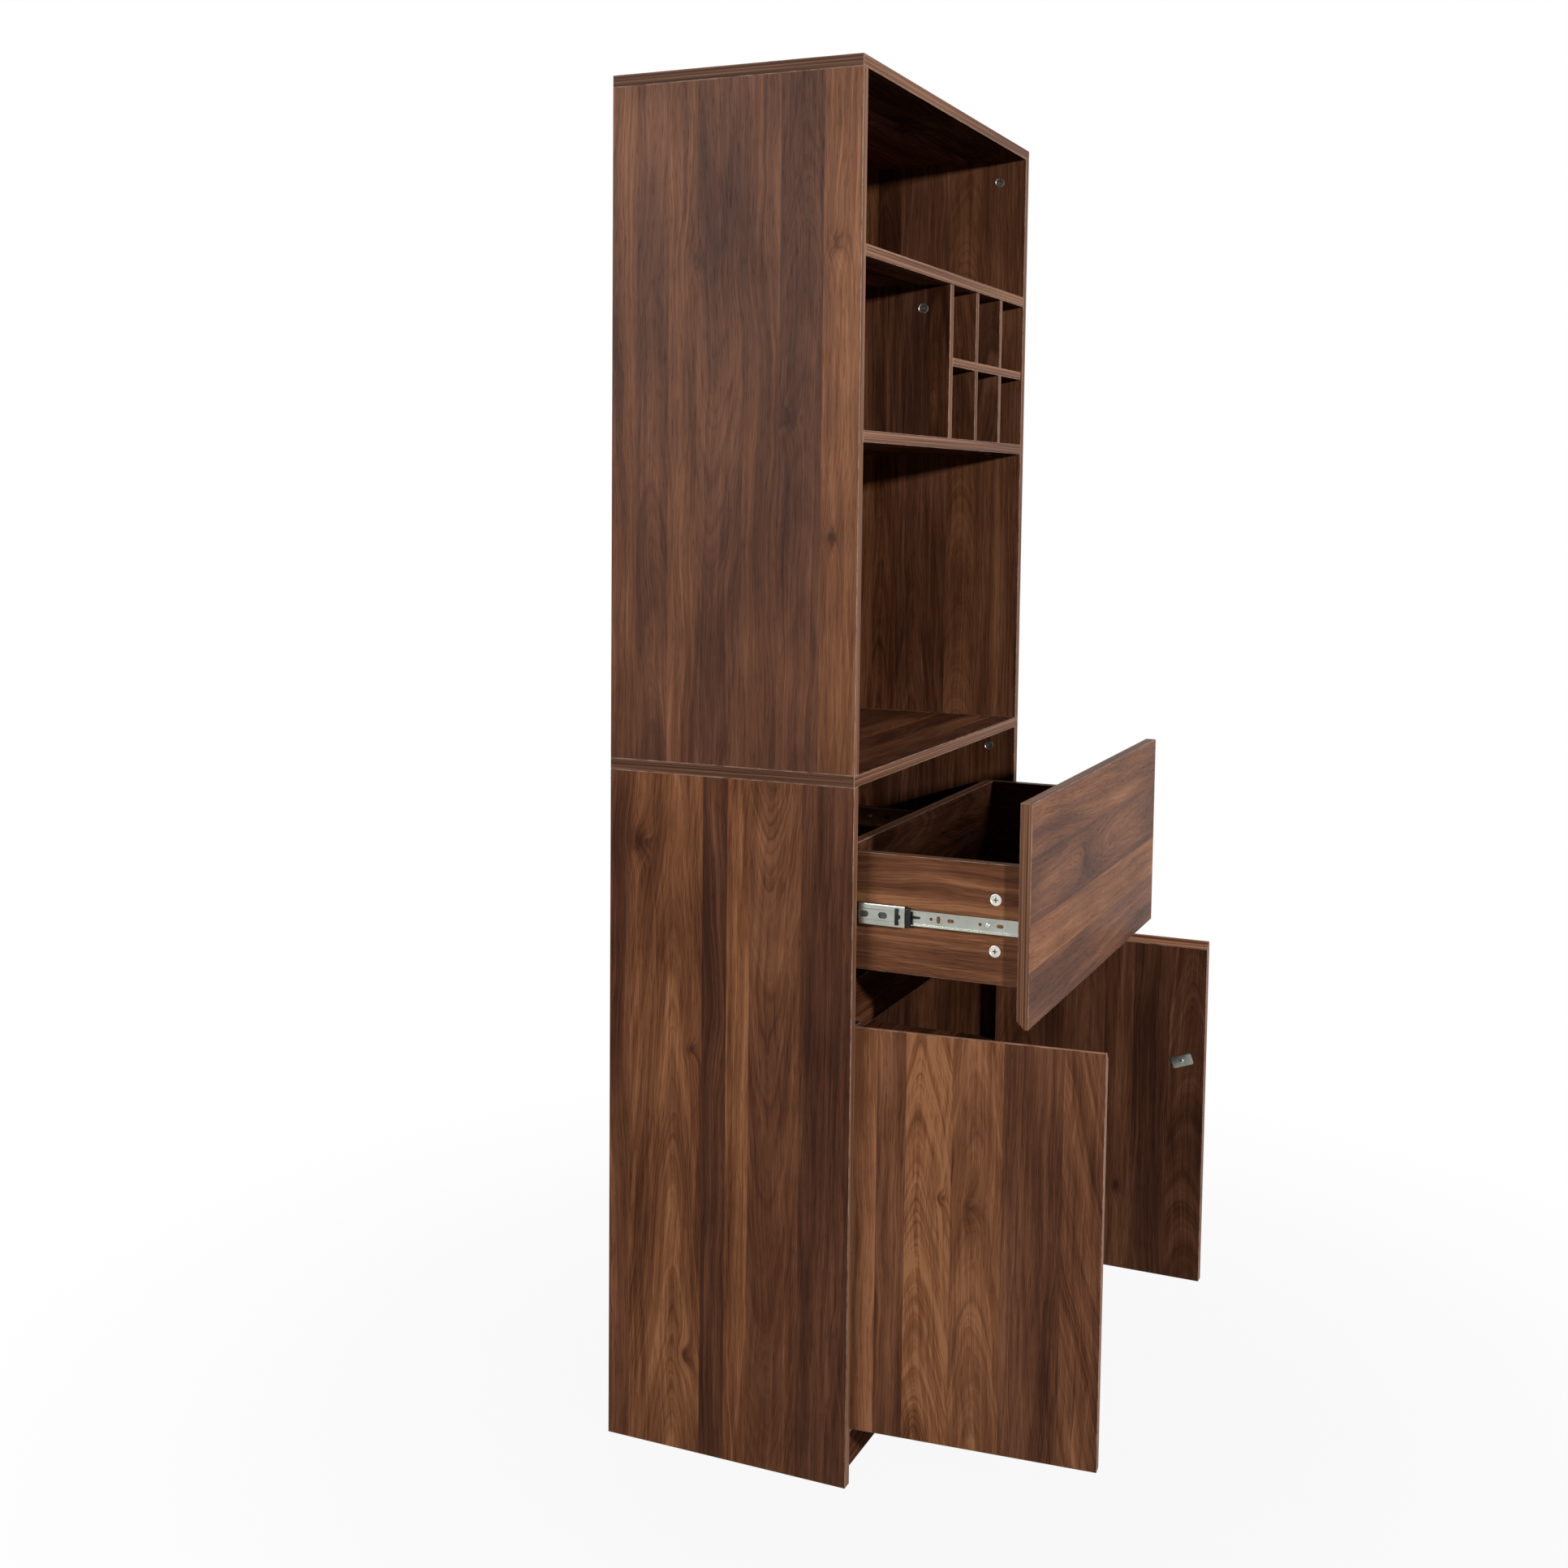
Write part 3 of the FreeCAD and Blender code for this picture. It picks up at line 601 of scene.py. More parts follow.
# Drawer front
# A board that stands above and below the drawer box and is pulled onto it by the cams in the drawer's
# sides. Its inner lower edge is cut back at 45 degrees for the fingers.
finger_bevel = 0.010
front_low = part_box("drawer_front")[0]
drawer_front_staves = [
    Stave(0.070, 0.46, 0.35, 2.20, 0.024, 0.030, 0.60),
    Stave(0.058, 0.70, 1.00, -0.80, 0.020, 0.020, 0.60),
    Stave(0.082, 0.44, 0.70, 0.50, 0.012, -0.060, 0.75),
    Stave(0.068, 0.53, 0.80, -0.6, 0.018, 0.060, 0.60),
]
drawer_front_knots = [(0.160, 0.26, 0.016)]


def inner_lower_edge(start, end):
    """The drawer front's edge that the fingers reach under."""
    low_enough = max(start.z, end.z) < front_low.z + finger_bevel
    return low_enough and min(start.y, end.y) > front_low.y + finger_bevel


fit_board(
    "drawer_front", Y, X, drawer_front_staves, 81.0, drawer_front_knots, "drawer", inner_lower_edge,
    grit=0.75, sheen=satin,
)

# Doors
# Two inset doors without handles, cut back along the inner top edge for the fingers. Each turns on two
# pins near its outer edge, in plastic bushings let into its top and bottom edges.
lower_left_low, lower_left_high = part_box("lower_left_side")
inside_half = -lower_left_high.x
front_plane = lower_left_low.y
door_gap = 0.003
meeting_gap = 0.002
door_thickness = 0.015
pivot_from_side = 0.012
bushing_hole_radius = 0.004
bushing_hole_depth = 0.019
hole_sides = 24
# The doors' end bands, on their top and bottom edges and finger bevels, are printed 2.2 times paler than the
# same band elsewhere: painted light, as if those edges caught the lamp.
painted_light_end_band = 2.2
slanting = 0.5


def rod(name, centre, direction, radius, length, sides):
    """A round bar whose middle is at a point."""
    bpy.ops.object.select_all(action="DESELECT")
    bpy.ops.mesh.primitive_cylinder_add(vertices=sides, radius=radius, depth=length)
    piece = bpy.context.object
    piece.name = name
    piece.data.name = name
    turn = Z_AXIS.rotation_difference(direction).to_matrix().to_4x4()
    piece.data.transform(Matrix.Translation(centre) @ turn)
    return piece


def hang_door(node, side, open_degrees, staves, knots, seed, body):
    """A door made shut in its opening and then swung to its place at rest."""
    foot, head = (corner.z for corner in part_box(node))
    near = inside_half - door_gap
    far = meeting_gap / 2
    left, right = sorted((side * near, side * far))
    low = Vector((left, front_plane, foot))
    high = Vector((right, front_plane + door_thickness, head))
    pivot = Vector((side * (inside_half - pivot_from_side), front_plane + door_thickness / 2, 0))
    swing = Matrix.Translation(pivot) @ Matrix.Rotation(math.radians(open_degrees), 4, "Z")
    swing = swing @ Matrix.Translation(-pivot)
    hinge_edge = Vector((side * near, front_plane, 0))
    across = swing.to_3x3() @ Vector((-side, 0, 0))
    corner = swing @ hinge_edge
    face = walnut("walnut_" + node, across, Z_AXIS, corner, staves, knots, seed, sheen=satin)

    def inner_upper_edge(start, end):
        return min(start.z, end.z) > head - finger_bevel and min(start.y, end.y) > low.y + finger_bevel

    piece = cut_board(node + "_panel", low, high, Y, Z, face, inner_upper_edge)
    # Its end band is printed paler than the band elsewhere, as painted light on the door's edges.
    piece.data.materials[END_EDGE] = edge_band("edge_band_" + node, across, painted_light_end_band)
    for side_face in piece.data.polygons:
        slanted = min(abs(side_face.normal.y), abs(side_face.normal.z)) > slanting
        if slanted and side_face.material_index == LONG_EDGE:
            side_face.material_index = END_EDGE
    for end in (foot, head):
        centre = Vector((pivot.x, pivot.y, end))
        cut(piece, rod("hole", centre, Z_AXIS, bushing_hole_radius, 2 * bushing_hole_depth, hole_sides))
    piece.data.transform(swing)
    settle(piece, node, body)
    boards[node] = piece
    return swing


# The left door is printed paler than the side beside it: partly print, partly painted light.
left_door_staves = [
    Stave(0.043, 0.70, 0.75, -1.6, 0.016, 0.015, 0.70),
    Stave(0.038, 0.42, 0.35, -1.2, 0.020, 0.010, 0.60),
    Stave(0.059, 0.78, 0.95, 0.30, 0.008, 0.260, 0.95),
    Stave(0.065, 0.70, 0.70, 0.45, 0.020, 0.120, 0.70),
    Stave(0.075, 0.46, 0.20, 2.20, 0.020, 0.015, 0.75),
    Stave(0.051, 0.58, 0.45, -0.50, 0.014, 0.250, 0.85),
]
left_door_knots = [(0.167, 0.381, 0.010), (0.128, 0.390, 0.007)]
left_swing = hang_door("left_door", -1, -85.0, left_door_staves, left_door_knots, 91.0, "door_left")
right_swing = hang_door(
    "right_door", 1, 90.0, staves_from(101, 0.331, 0.42), [(0.20, 0.20, 0.010)], 96.0, "door_right")

# Cam locks
# Die-cast zinc discs let into the boards. A cross in each takes the screwdriver, and half a turn grips
# the head of a steel bolt that stands out of the next board.
cam_radius = 0.0074
cam_depth = 0.0125
cam_rim = 0.0010
cam_dish = 0.0004
cam_chamfer = 0.0004
cross_length = 0.0078
cross_width = 0.0020
cross_depth = 0.0055
cross_taper = 0.6
arrow_off = 0.0052
arrow_radius = 0.0009
arrow_depth = 0.0012
pocket_play = 0.00025
round_sides = 40
flush = 0.0005
soft_edge = math.radians(35)


def metal(name, dark, light, run, roughness):
    """Bare or plated metal: cloudy, with fine marks drawn along one axis."""
    finish, shader, point = new_finish(name)
    stretch = Vector((1, 1, 1)) - run * 0.97
    marks = speckle(point.vector("MULTIPLY", stretch), 900.0, 3.0, 0.6)
    haze = speckle(point, 70.0, 3.0, 0.6)
    mixed = 0.2 + marks * 0.25 + haze * 0.35
    stops = [(0.32, (*dark, 1)), (0.66, (*light, 1))]
    feed(
        shader,
        Base_Color=ramp(mixed, stops),
        Roughness=roughness + (mixed - 0.5) * 0.3,
        Normal=bumped(marks, 0.0001, 0.06),
    )
    shader.inputs["Metallic"].default_value = 1.0
    return finish


cast_zinc = metal("cast_zinc", (0.40, 0.38, 0.34), (0.74, 0.71, 0.65), Vector(), 0.36)
bolt_steel = metal("bolt_steel", (0.44, 0.43, 0.38), (0.68, 0.66, 0.58), Vector(), 0.34)


def open_faces(piece, test):
    """Opens a piece for editing with only those faces picked that pass a test."""
    pick(piece)
    bpy.ops.object.mode_set(mode="EDIT")
    bpy.ops.mesh.select_mode(type="FACE")
    bpy.ops.mesh.select_all(action="DESELECT")
    bpy.ops.object.mode_set(mode="OBJECT")
    for face in piece.data.polygons:
        face.select = test(face)
    bpy.ops.object.mode_set(mode="EDIT")


def solids_of(node):
    """The points of each separate solid in a CAD group, one list for each."""
    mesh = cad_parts[node].data
    places = [tuple(round(value, 6) for value in vertex.co) for vertex in mesh.vertices]
    owner = {place: place for place in places}

    def leader(place):
        while owner[place] != place:
            place = owner[place]
        return place

    for face in mesh.polygons:
        first = leader(places[face.vertices[0]])
        for index in face.vertices:
            owner[leader(places[index])] = first
    groups = {}
    for place in owner:
        groups.setdefault(leader(place), []).append(Vector(place))
    return list(groups.values())


def corners(points):
    """Lowest and highest corner of some points."""
    low = Vector(min(point[k] for point in points) for k in range(3))
    high = Vector(max(point[k] for point in points) for k in range(3))
    return low, high


def smooth(piece):
    """Rounds the shading of gentle edges and keeps the sharp ones."""
    pick(piece)
    bpy.ops.object.shade_smooth_by_angle(angle=soft_edge)


def facing_matrix(seat, facing):
    """Moves a piece modelled at the origin, facing up, to a seat where it faces another way."""
    return Matrix.Translation(seat) @ Z_AXIS.rotation_difference(facing).to_matrix().to_4x4()


def copies(model, name, placements):
    """Copies of one model, each placed in its own mesh, joined as one group of pieces."""
    made = []
    for placement in placements:
        copy = model.copy()
        copy.data = model.data.copy()
        bpy.context.scene.collection.objects.link(copy)
        copy.data.transform(placement)
        made.append(copy)
    return together(name, made)


def together(name, made):
    """Joins pieces that are one part or one group."""
    bpy.ops.object.select_all(action="DESELECT")
    for piece in made:
        piece.select_set(True)
    bpy.context.view_layer.objects.active = made[0]
    if len(made) > 1:
        bpy.ops.object.join()
    made[0].name = name
    made[0].data.name = name
    return made[0]


def driver_cross(piece, length, wide, deep, lift):
    """Cuts a screwdriver's cross into the face of a piece modelled at the origin."""
    for turn in (0, 1):
        reach = Vector((length, wide, 2 * deep)) if turn else Vector((wide, length, 2 * deep))
        middle = Vector((0, 0, lift))
        arm = block("arm", middle - reach / 2, middle + reach / 2)
        open_faces(arm, lambda face: face.normal.z < -square_on)
        bpy.ops.transform.resize(value=(cross_taper, cross_taper, 1))
        bpy.ops.object.mode_set(mode="OBJECT")
        cut(piece, arm)


def cam_brim(start, end):
    """The outer edge of a cam's face."""
    outside = min(start.xy.length, end.xy.length) > cam_radius - flush
    return outside and min(start.z, end.z) > -flush


cam = rod("cam", Vector((0, 0, -cam_depth / 2)), Z_AXIS, cam_radius, cam_depth, round_sides)
open_faces(cam, lambda face: face.normal.z > square_on)
bpy.ops.mesh.inset(thickness=cam_rim)
bpy.ops.mesh.inset(thickness=cam_dish)
bpy.ops.transform.translate(value=(0, 0, -cam_dish))
bpy.ops.object.mode_set(mode="OBJECT")
round_edges(cam, cam_brim, cam_chamfer, 2)
driver_cross(cam, cross_length, cross_width, cross_depth, -cam_dish)
cut(cam, rod("arrow", Vector((arrow_off, 0, -cam_dish)), Z_AXIS, arrow_radius, arrow_depth, 3))
cam.data.materials.append(cast_zinc)
smooth(cam)


def set_cams(node, name, body):
    """Drills a pocket for each cam of a CAD group and sets a cam in it."""
    placements = []
    for points in solids_of(node):
        low, high = corners(points)
        middle = (low + high) / 2
        axis = min(range(3), key=lambda k: abs(high[k] - low[k] - cam_depth))
        for board_node, board in boards.items():
            board_low, board_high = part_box(board_node)
            if not all(board_low[k] < middle[k] < board_high[k] for k in range(3)):
                continue
            facing = AXES[axis] if abs(high[axis] - board_high[axis]) < flush else -AXES[axis]
            seat = middle + facing * (cam_depth / 2)
            pocket_middle = middle + facing * flush
            pocket_depth = cam_depth + 2 * flush
            pocket_radius = cam_radius + pocket_play
            cut(board, rod("pocket", pocket_middle, facing, pocket_radius, pocket_depth, round_sides))
            placements.append(facing_matrix(seat, facing))
    settle(copies(cam, name, placements), node, body)


def dress(node, finish):
    """Gives a CAD node that stays in sight, or inside a board, its finish."""
    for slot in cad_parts[node].material_slots:
        slot.material = finish


set_cams("cam_locks", "carcass_cams", "carcass")
set_cams("drawer_cam_locks", "drawer_cams", "drawer")
bpy.data.objects.remove(cam)
dress("cam_bolts", bolt_steel)
dress("drawer_cam_bolts", bolt_steel)

# Dowels and door bushings
# Beech dowels inside the boards set them in line. White plastic bushings, pressed into the doors' top and
# bottom edges, turn on the brackets' pins.


def beech():
    """Raw beech: pale, with short dark rays."""
    finish, shader, point = new_finish("beech")
    rays = speckle(point, 500.0, 3.0, 0.6)
    stops = [(0.35, (0.40, 0.255, 0.140, 1)), (0.6, (0.60, 0.420, 0.250, 1))]
    feed(
        shader,
        Base_Color=ramp(rays, stops),
        Roughness=0.6 + rays * 0.2,
    )
    return finish


def moulded(name, dark, light, roughness, sheen):
    """Moulded plastic with a fine grain."""
    finish, shader, point = new_finish(name)
    grain = speckle(point, 1500.0, 2.0, 0.5)
    stops = [(0.35, (*dark, 1)), (0.65, (*light, 1))]
    feed(
        shader,
        Base_Color=ramp(grain, stops),
        Roughness=roughness + grain * 0.2,
        Normal=bumped(grain, 0.0001, 0.2),
    )
    shader.inputs["Specular IOR Level"].default_value = sheen
    return finish


black_plastic = moulded("black_plastic", (0.005, 0.005, 0.006), (0.012, 0.012, 0.013), 0.36, 0.2)
white_plastic = moulded("white_plastic", (0.70, 0.70, 0.67), (0.80, 0.80, 0.77), 0.36, 0.5)
dress("dowels", beech())
dress("left_door_bushings", white_plastic)
dress("right_door_bushings", white_plastic)

# Drawer slides
# Three members of plated steel folded from strip: one screwed to the cabinet, one to the drawer, and one
# that runs between them on two ball cages. Black plastic at its end stops it and a lever releases it.
slide_skin = 0.0012
fold_radius = 0.0012
bead_half = 0.0075
same_place = 1e-6
round_hole = (0.0042, 0.0042)
oval_hole = (0.0085, 0.0045)
tall_hole = (0.0045, 0.0090)
short_slot = (0.0095, 0.0055)
long_slot = (0.0118, 0.0080)
Member = namedtuple("Member", "node piece body web half folds holes")
members = (
    Member(
        "_slide_outer", "_cabinet_member", "carcass", 0.0006, 0.0169, ((0.0098, 0), (0, -0.0022)),
        ((0.060, short_slot), (0.110, short_slot), (0.160, short_slot), (0.195, short_slot)),
    ),
    Member(
        "_slide_middle", "_middle_member", "{}_middle", 0.0045, 0.0062,
        ((0.0005, 0.0005), (0, 0.0067), (0.0060, 0), (0, -0.0028)),
        ((0.029, long_slot), (0.054, long_slot), (0.120, long_slot), (0.180, long_slot)),
    ),
    Member(
        "_slide_inner", "_drawer_member", "drawer", 0.0119, 0.00915, ((-0.0053, 0),),
        ((0.0245, oval_hole), (0.050, round_hole), (0.088, oval_hole), (0.1038, tall_hole),
         (0.1135, round_hole), (0.165, oval_hole), (0.215, oval_hole)),
    ),
)
punch_reach = 0.006
punch_roundness = 0.46
stop_web = 0.0059
stop_half = 0.0114
stop_folds = ((0.0034, 0),)
stop_skin = 0.0014
tab_web = 0.0040
tab_setback = 0.0105
tab_reach = Vector((0.0014, 0.0052, 0.0215))
knuckle_radius = 0.0032
knuckle_length = 0.0012
knuckle_forward = 0.0018
plastic_edge = 0.0004
lever_tip = 0.45
slide_steel = metal("slide_steel", (0.29, 0.30, 0.26), (0.44, 0.45, 0.40), Y_AXIS, 0.25)
cage_steel = metal("cage_steel", (0.035, 0.035, 0.034), (0.10, 0.10, 0.095), Y_AXIS, 0.42)


def fold_strip(name, side, web, half, folds, skin, y_span, centre):
    """A strip of sheet folded lengthwise.

    `web` is the distance of its flat middle from the cabinet side, `half` half the height of that, and
    `folds` the steps outwards from there, towards the drawer and up.
    """
    bpy.ops.object.select_all(action="DESELECT")
    middle = (side * (inside_half - web), sum(y_span) / 2, centre)
    bpy.ops.mesh.primitive_plane_add(size=1, location=middle, rotation=(0, math.pi / 2, 0))
    piece = bpy.context.object
    piece.name = name
    piece.data.name = name
    piece.scale = (2 * half, y_span[1] - y_span[0], 1)
    bpy.ops.object.transform_apply(location=True, rotation=True, scale=True)
    for up in (-1, 1):
        edge_z = centre + up * half
        open_edges(piece, lambda start, end: abs(start.z - edge_z) + abs(end.z - edge_z) < same_place)
        for step, rise_by in folds:
            move = {"value": (-side * step, 0, up * rise_by)}
            bpy.ops.mesh.extrude_region_move(TRANSFORM_OT_translate=move)
        bpy.ops.object.mode_set(mode="OBJECT")
    shared = [key for face in piece.data.polygons for key in face.edge_keys]
    points = piece.data.vertices
    inner = [{tuple(points[index].co) for index in key} for key in shared if shared.count(key) == 2]
    open_edges(piece, lambda start, end: (
        {tuple(start), tuple(end)} in inner and abs(start.z - centre) > bead_half))
    bpy.ops.mesh.bevel(offset=fold_radius, segments=4)
    bpy.ops.mesh.select_all(action="SELECT")
    bpy.ops.mesh.normals_make_consistent(inside=False)
    bpy.ops.object.mode_set(mode="OBJECT")
    sheet = piece.modifiers.new("sheet", "SOLIDIFY")
    sheet.thickness = skin
    sheet.offset = 0
    sheet.use_even_offset = True
    bpy.ops.object.modifier_apply(modifier=sheet.name)
    return piece


def punch(piece, side, web, y, z, size):
    """Punches a round-ended hole of some length and height through a slide member's web."""
    middle = Vector((side * (inside_half - web), y, z))
    reach = Vector((punch_reach, *size))
    tool = block("tool", middle - reach / 2, middle + reach / 2)
    round_edges(tool, lambda start, end: abs(start.x - end.x) > reach.x / 2, min(size) * punch_roundness, 6)
    cut(piece, tool)


def finish_member(piece, node, body, finish):
    """The last steps of a piece of hardware: its finish, shading and place in the assembly."""
    piece.data.materials.append(finish)
    smooth(piece)
    settle(piece, node, body)


for side, name in ((-1, "left"), (1, "right")):
    outer_low, outer_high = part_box(name + "_slide_outer")
    slide_centre = (outer_low.z + outer_high.z) / 2
    for member in members:
        member_low, member_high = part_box(name + member.node)
        strip = fold_strip(
            name + member.piece, side, member.web, member.half, member.folds,
            slide_skin, (member_low.y, member_high.y), slide_centre)
        for place, size in member.holes:
            punch(strip, side, member.web, member_low.y + place, slide_centre, size)
        member_body = member.body.format(name)
        finish_member(strip, name + member.node, member_body, slide_steel)

    stop_low, stop_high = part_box(name + "_slide_stop")
    middle_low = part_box(name + "_slide_middle")[0]
    stop = fold_strip(
        name + "_end_stop", side, stop_web, stop_half, stop_folds,
        stop_skin, (stop_low.y, stop_high.y), slide_centre)
    tab_middle = Vector((side * (inside_half - tab_web), middle_low.y + tab_setback, slide_centre))
    tab = block("tab", tab_middle - tab_reach / 2, tab_middle + tab_reach / 2)
    round_edges(tab, every_edge, plastic_edge, 2)
    knuckle_middle = tab_middle - Y_AXIS * knuckle_forward
    knuckle = rod("knuckle", knuckle_middle, X_AXIS, knuckle_radius, knuckle_length, hole_sides)
    stop = together(name + "_end_stop", [stop, tab, knuckle])
    finish_member(stop, name + "_slide_stop", name + "_middle", black_plastic)
    for cage in ("_outer_cage", "_inner_cage"):
        dress(name + cage, cage_steel)

levers = []
for points in solids_of("slide_levers"):
    lever_low, lever_high = corners(points)
    lever = block("lever", lever_low, lever_high)
    open_faces(lever, lambda face: face.normal.y < -square_on)
    bpy.ops.transform.resize(value=(1, 1, lever_tip))
    bpy.ops.object.mode_set(mode="OBJECT")
    round_edges(lever, every_edge, plastic_edge, 2)
    levers.append(lever)
finish_member(together("release_levers", levers), "slide_levers", "drawer", black_plastic)

# Screws
# Small plated pan head screws with a driver cross. They hold the slides, the brackets, the catches, the
# strike plates and the drawer's back.
screw_head_radius = 0.0030
screw_head_height = 0.0016
screw_shank_radius = 0.0015
screw_shank_length = 0.0115
screw_crown = 0.6
screw_point = 0.8
screw_cross_length = 0.0036
screw_cross_width = 0.0008
screw_cross_depth = 0.0010
screw_sides = 28
shank_sides = 16
screw_steel = metal("screw_steel", (0.46, 0.46, 0.43), (0.76, 0.75, 0.70), Vector(), 0.28)

head_middle = Vector((0, 0, -screw_head_height / 2))
screw = rod("screw", head_middle, Z_AXIS, screw_head_radius, screw_head_height, screw_sides)
round_edges(screw, lambda start, end: min(start.z, end.z) > -flush, screw_head_height * screw_crown, 4)
driver_cross(screw, screw_cross_length, screw_cross_width, screw_cross_depth, 0)
shank_middle = Vector((0, 0, -screw_head_height - screw_shank_length / 2))
shank = rod("shank", shank_middle, Z_AXIS, screw_shank_radius, screw_shank_length, shank_sides)
open_faces(shank, lambda face: face.normal.z < -square_on)
bpy.ops.mesh.inset(thickness=screw_shank_radius * screw_point)
bpy.ops.transform.translate(value=(0, 0, -screw_shank_radius))
bpy.ops.object.mode_set(mode="OBJECT")
screw = together("screw", [screw, shank])
screw.data.materials.append(screw_steel)
smooth(screw)


def screw_placements(node):
    """Where each screw of a CAD group has its head, and which way the head faces."""
    placements = []
    for points in solids_of(node):
        low, high = corners(points)
        axis = max(range(3), key=lambda k: high[k] - low[k])
        middle = (low + high) / 2
        at_high = [point for point in points if point[axis] > high[axis] - flush]
        at_low = [point for point in points if point[axis] < low[axis] + flush]
        spread_high = max((point - at_high[0]).length for point in at_high)
        spread_low = max((point - at_low[0]).length for point in at_low)
        facing = AXES[axis] if spread_high > spread_low else -AXES[axis]
        placements.append(facing_matrix(middle + facing * ((high[axis] - low[axis]) / 2), facing))
    return placements


for node, body in (("carcass_screws", "carcass"), ("drawer_screws", "drawer")):
    screws = copies(screw, node.replace("screws", "pan_heads"), screw_placements(node))
    settle(screws, node, body)

# Pivot brackets
# Small angles of thick plated steel, screwed to the lower sides above and below each door. A riveted pin
# in each goes into the door's bushing.
bracket_steel = 0.002
bracket_leaf = 0.021
bracket_reach = 0.022
bracket_fold = 0.0016
door_half_way = 0.3
pin_radius = 0.0025
pin_tip = 0.0008
dark_steel = metal("dark_steel", (0.045, 0.040, 0.036), (0.12, 0.11, 0.10), Vector(), 0.40)
brackets = []
for points in solids_of("pivot_brackets"):
    bracket_low, bracket_high = corners(points)
    side = -1 if bracket_low.x < 0 else 1
    up = 1 if bracket_low.z > door_half_way else -1
    leaf_end = bracket_high.z if up > 0 else bracket_low.z
    tab_z = leaf_end - up * (bracket_leaf - bracket_steel / 2)
    leaf_x = side * (inside_half - bracket_steel / 2)
    centre = Vector((leaf_x, (bracket_low.y + bracket_high.y) / 2, (tab_z + leaf_end) / 2))
    bpy.ops.object.select_all(action="DESELECT")
    bpy.ops.mesh.primitive_plane_add(size=1, location=centre, rotation=(0, math.pi / 2, 0))
    bracket = bpy.context.object
    bracket.scale = (abs(leaf_end - tab_z), bracket_high.y - bracket_low.y, 1)
    bpy.ops.object.transform_apply(location=True, rotation=True, scale=True)
    open_edges(bracket, lambda start, end: abs(start.z - tab_z) + abs(end.z - tab_z) < same_place)
    bpy.ops.mesh.extrude_region_move(
        TRANSFORM_OT_translate={"value": (-side * (bracket_reach - bracket_steel / 2), 0, 0)})
    bpy.ops.object.mode_set(mode="OBJECT")
    round_edges(bracket, lambda start, end: all(
        abs(point.z - tab_z) + abs(point.x - leaf_x) < same_place for point in (start, end)), bracket_fold, 4)
    plate = bracket.modifiers.new("plate", "SOLIDIFY")
    plate.thickness = bracket_steel
    plate.offset = 0
    bpy.ops.object.modifier_apply(modifier=plate.name)
    pin_end = bracket_low.z if up > 0 else bracket_high.z
    pin_start = tab_z + up * bracket_steel / 2
    pin_middle = Vector((side * (inside_half - pivot_from_side), centre.y, (pin_start + pin_end) / 2))
    pin = rod("pin", pin_middle, Z_AXIS, pin_radius, abs(pin_start - pin_end), screw_sides)
    round_edges(
        pin, lambda start, end: abs(start.z - pin_end) + abs(end.z - pin_end) < same_place, pin_tip, 2)
    brackets.append(together("bracket", [bracket, pin]))
bracket_group = together("pivot_angles", brackets)
finish_member(bracket_group, "pivot_brackets", "carcass", dark_steel)

# Strike plates
# A small plated plate with round corners on each door's inner face, held a little askew by one screw. The
# magnet catch holds it when the door is shut.
strike_length = 0.033
strike_height = 0.017
strike_thickness = 0.001
strike_inset = 0.034
strike_corner = 0.003
steel_edge = 0.0003
strike_tilt = math.radians(20)
strike_z = (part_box("left_strike_plate")[0].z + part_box("left_strike_plate")[1].z) / 2
strike_steel = metal("strike_steel", (0.15, 0.165, 0.145), (0.36, 0.38, 0.34), X_AXIS, 0.42)
door_inner = front_plane + door_thickness
for side, name, swing in ((-1, "left", left_swing), (1, "right", right_swing)):
    centre = Vector((side * (meeting_gap / 2 + strike_inset), door_inner + strike_thickness / 2, strike_z))
    reach = Vector((strike_length, strike_thickness, strike_height))
    strike = block(name + "_strike", centre - reach / 2, centre + reach / 2)
    round_edges(strike, lambda start, end: abs(start.y - end.y) > strike_thickness / 2, strike_corner, 5)
    round_edges(strike, lambda start, end: start.y > centre.y and end.y > centre.y, steel_edge, 2)
    tilt = Matrix.Translation(centre) @ Matrix.Rotation(side * strike_tilt, 4, "Y")
    strike.data.transform(swing @ tilt @ Matrix.Translation(-centre))
    finish_member(strike, name + "_strike_plate", "door_" + name, strike_steel)
    head_top = centre + Y_AXIS * (strike_thickness / 2 + screw_head_height)
    strike_screw = copies(screw, name + "_strike_pan_head", [swing @ facing_matrix(head_top, Y_AXIS)])
    settle(strike_screw, name + "_strike_screw", "door_" + name)
bpy.data.objects.remove(screw)

# Magnet catches
# Two black housings screwed to the loose shelf through ears at their foot. Each holds a magnet between
# two steel poles that stand out a little towards the door.
catch_ear_height = 0.003
catch_ear = 0.008
housing_edge = 0.0010
ear_corner = 0.0035
catches = []
for points in solids_of("magnet_catches"):
    catch_low, catch_high = corners(points)
    body_low = Vector((catch_low.x + catch_ear, catch_low.y, catch_low.z))
    body_high = Vector((catch_high.x - catch_ear, catch_high.y, catch_high.z))
    housing = block("housing", body_low, body_high)
    round_edges(housing, every_edge, housing_edge, 3)
    ears = block("ears", catch_low, Vector((catch_high.x, catch_high.y, catch_low.z + catch_ear_height)))
    round_edges(ears, lambda start, end: abs(start.z - end.z) > catch_ear_height / 2, ear_corner, 5)
    catches += [housing, ears]
catch_group = together("catch_housings", catches)
finish_member(catch_group, "magnet_catches", "carcass", black_plastic)
poles = []
for points in solids_of("catch_poles"):
    pole = block("pole", *corners(points))
    round_edges(pole, every_edge, steel_edge, 2)
    poles.append(pole)
finish_member(together("pole_plates", poles), "catch_poles", "carcass", strike_steel)

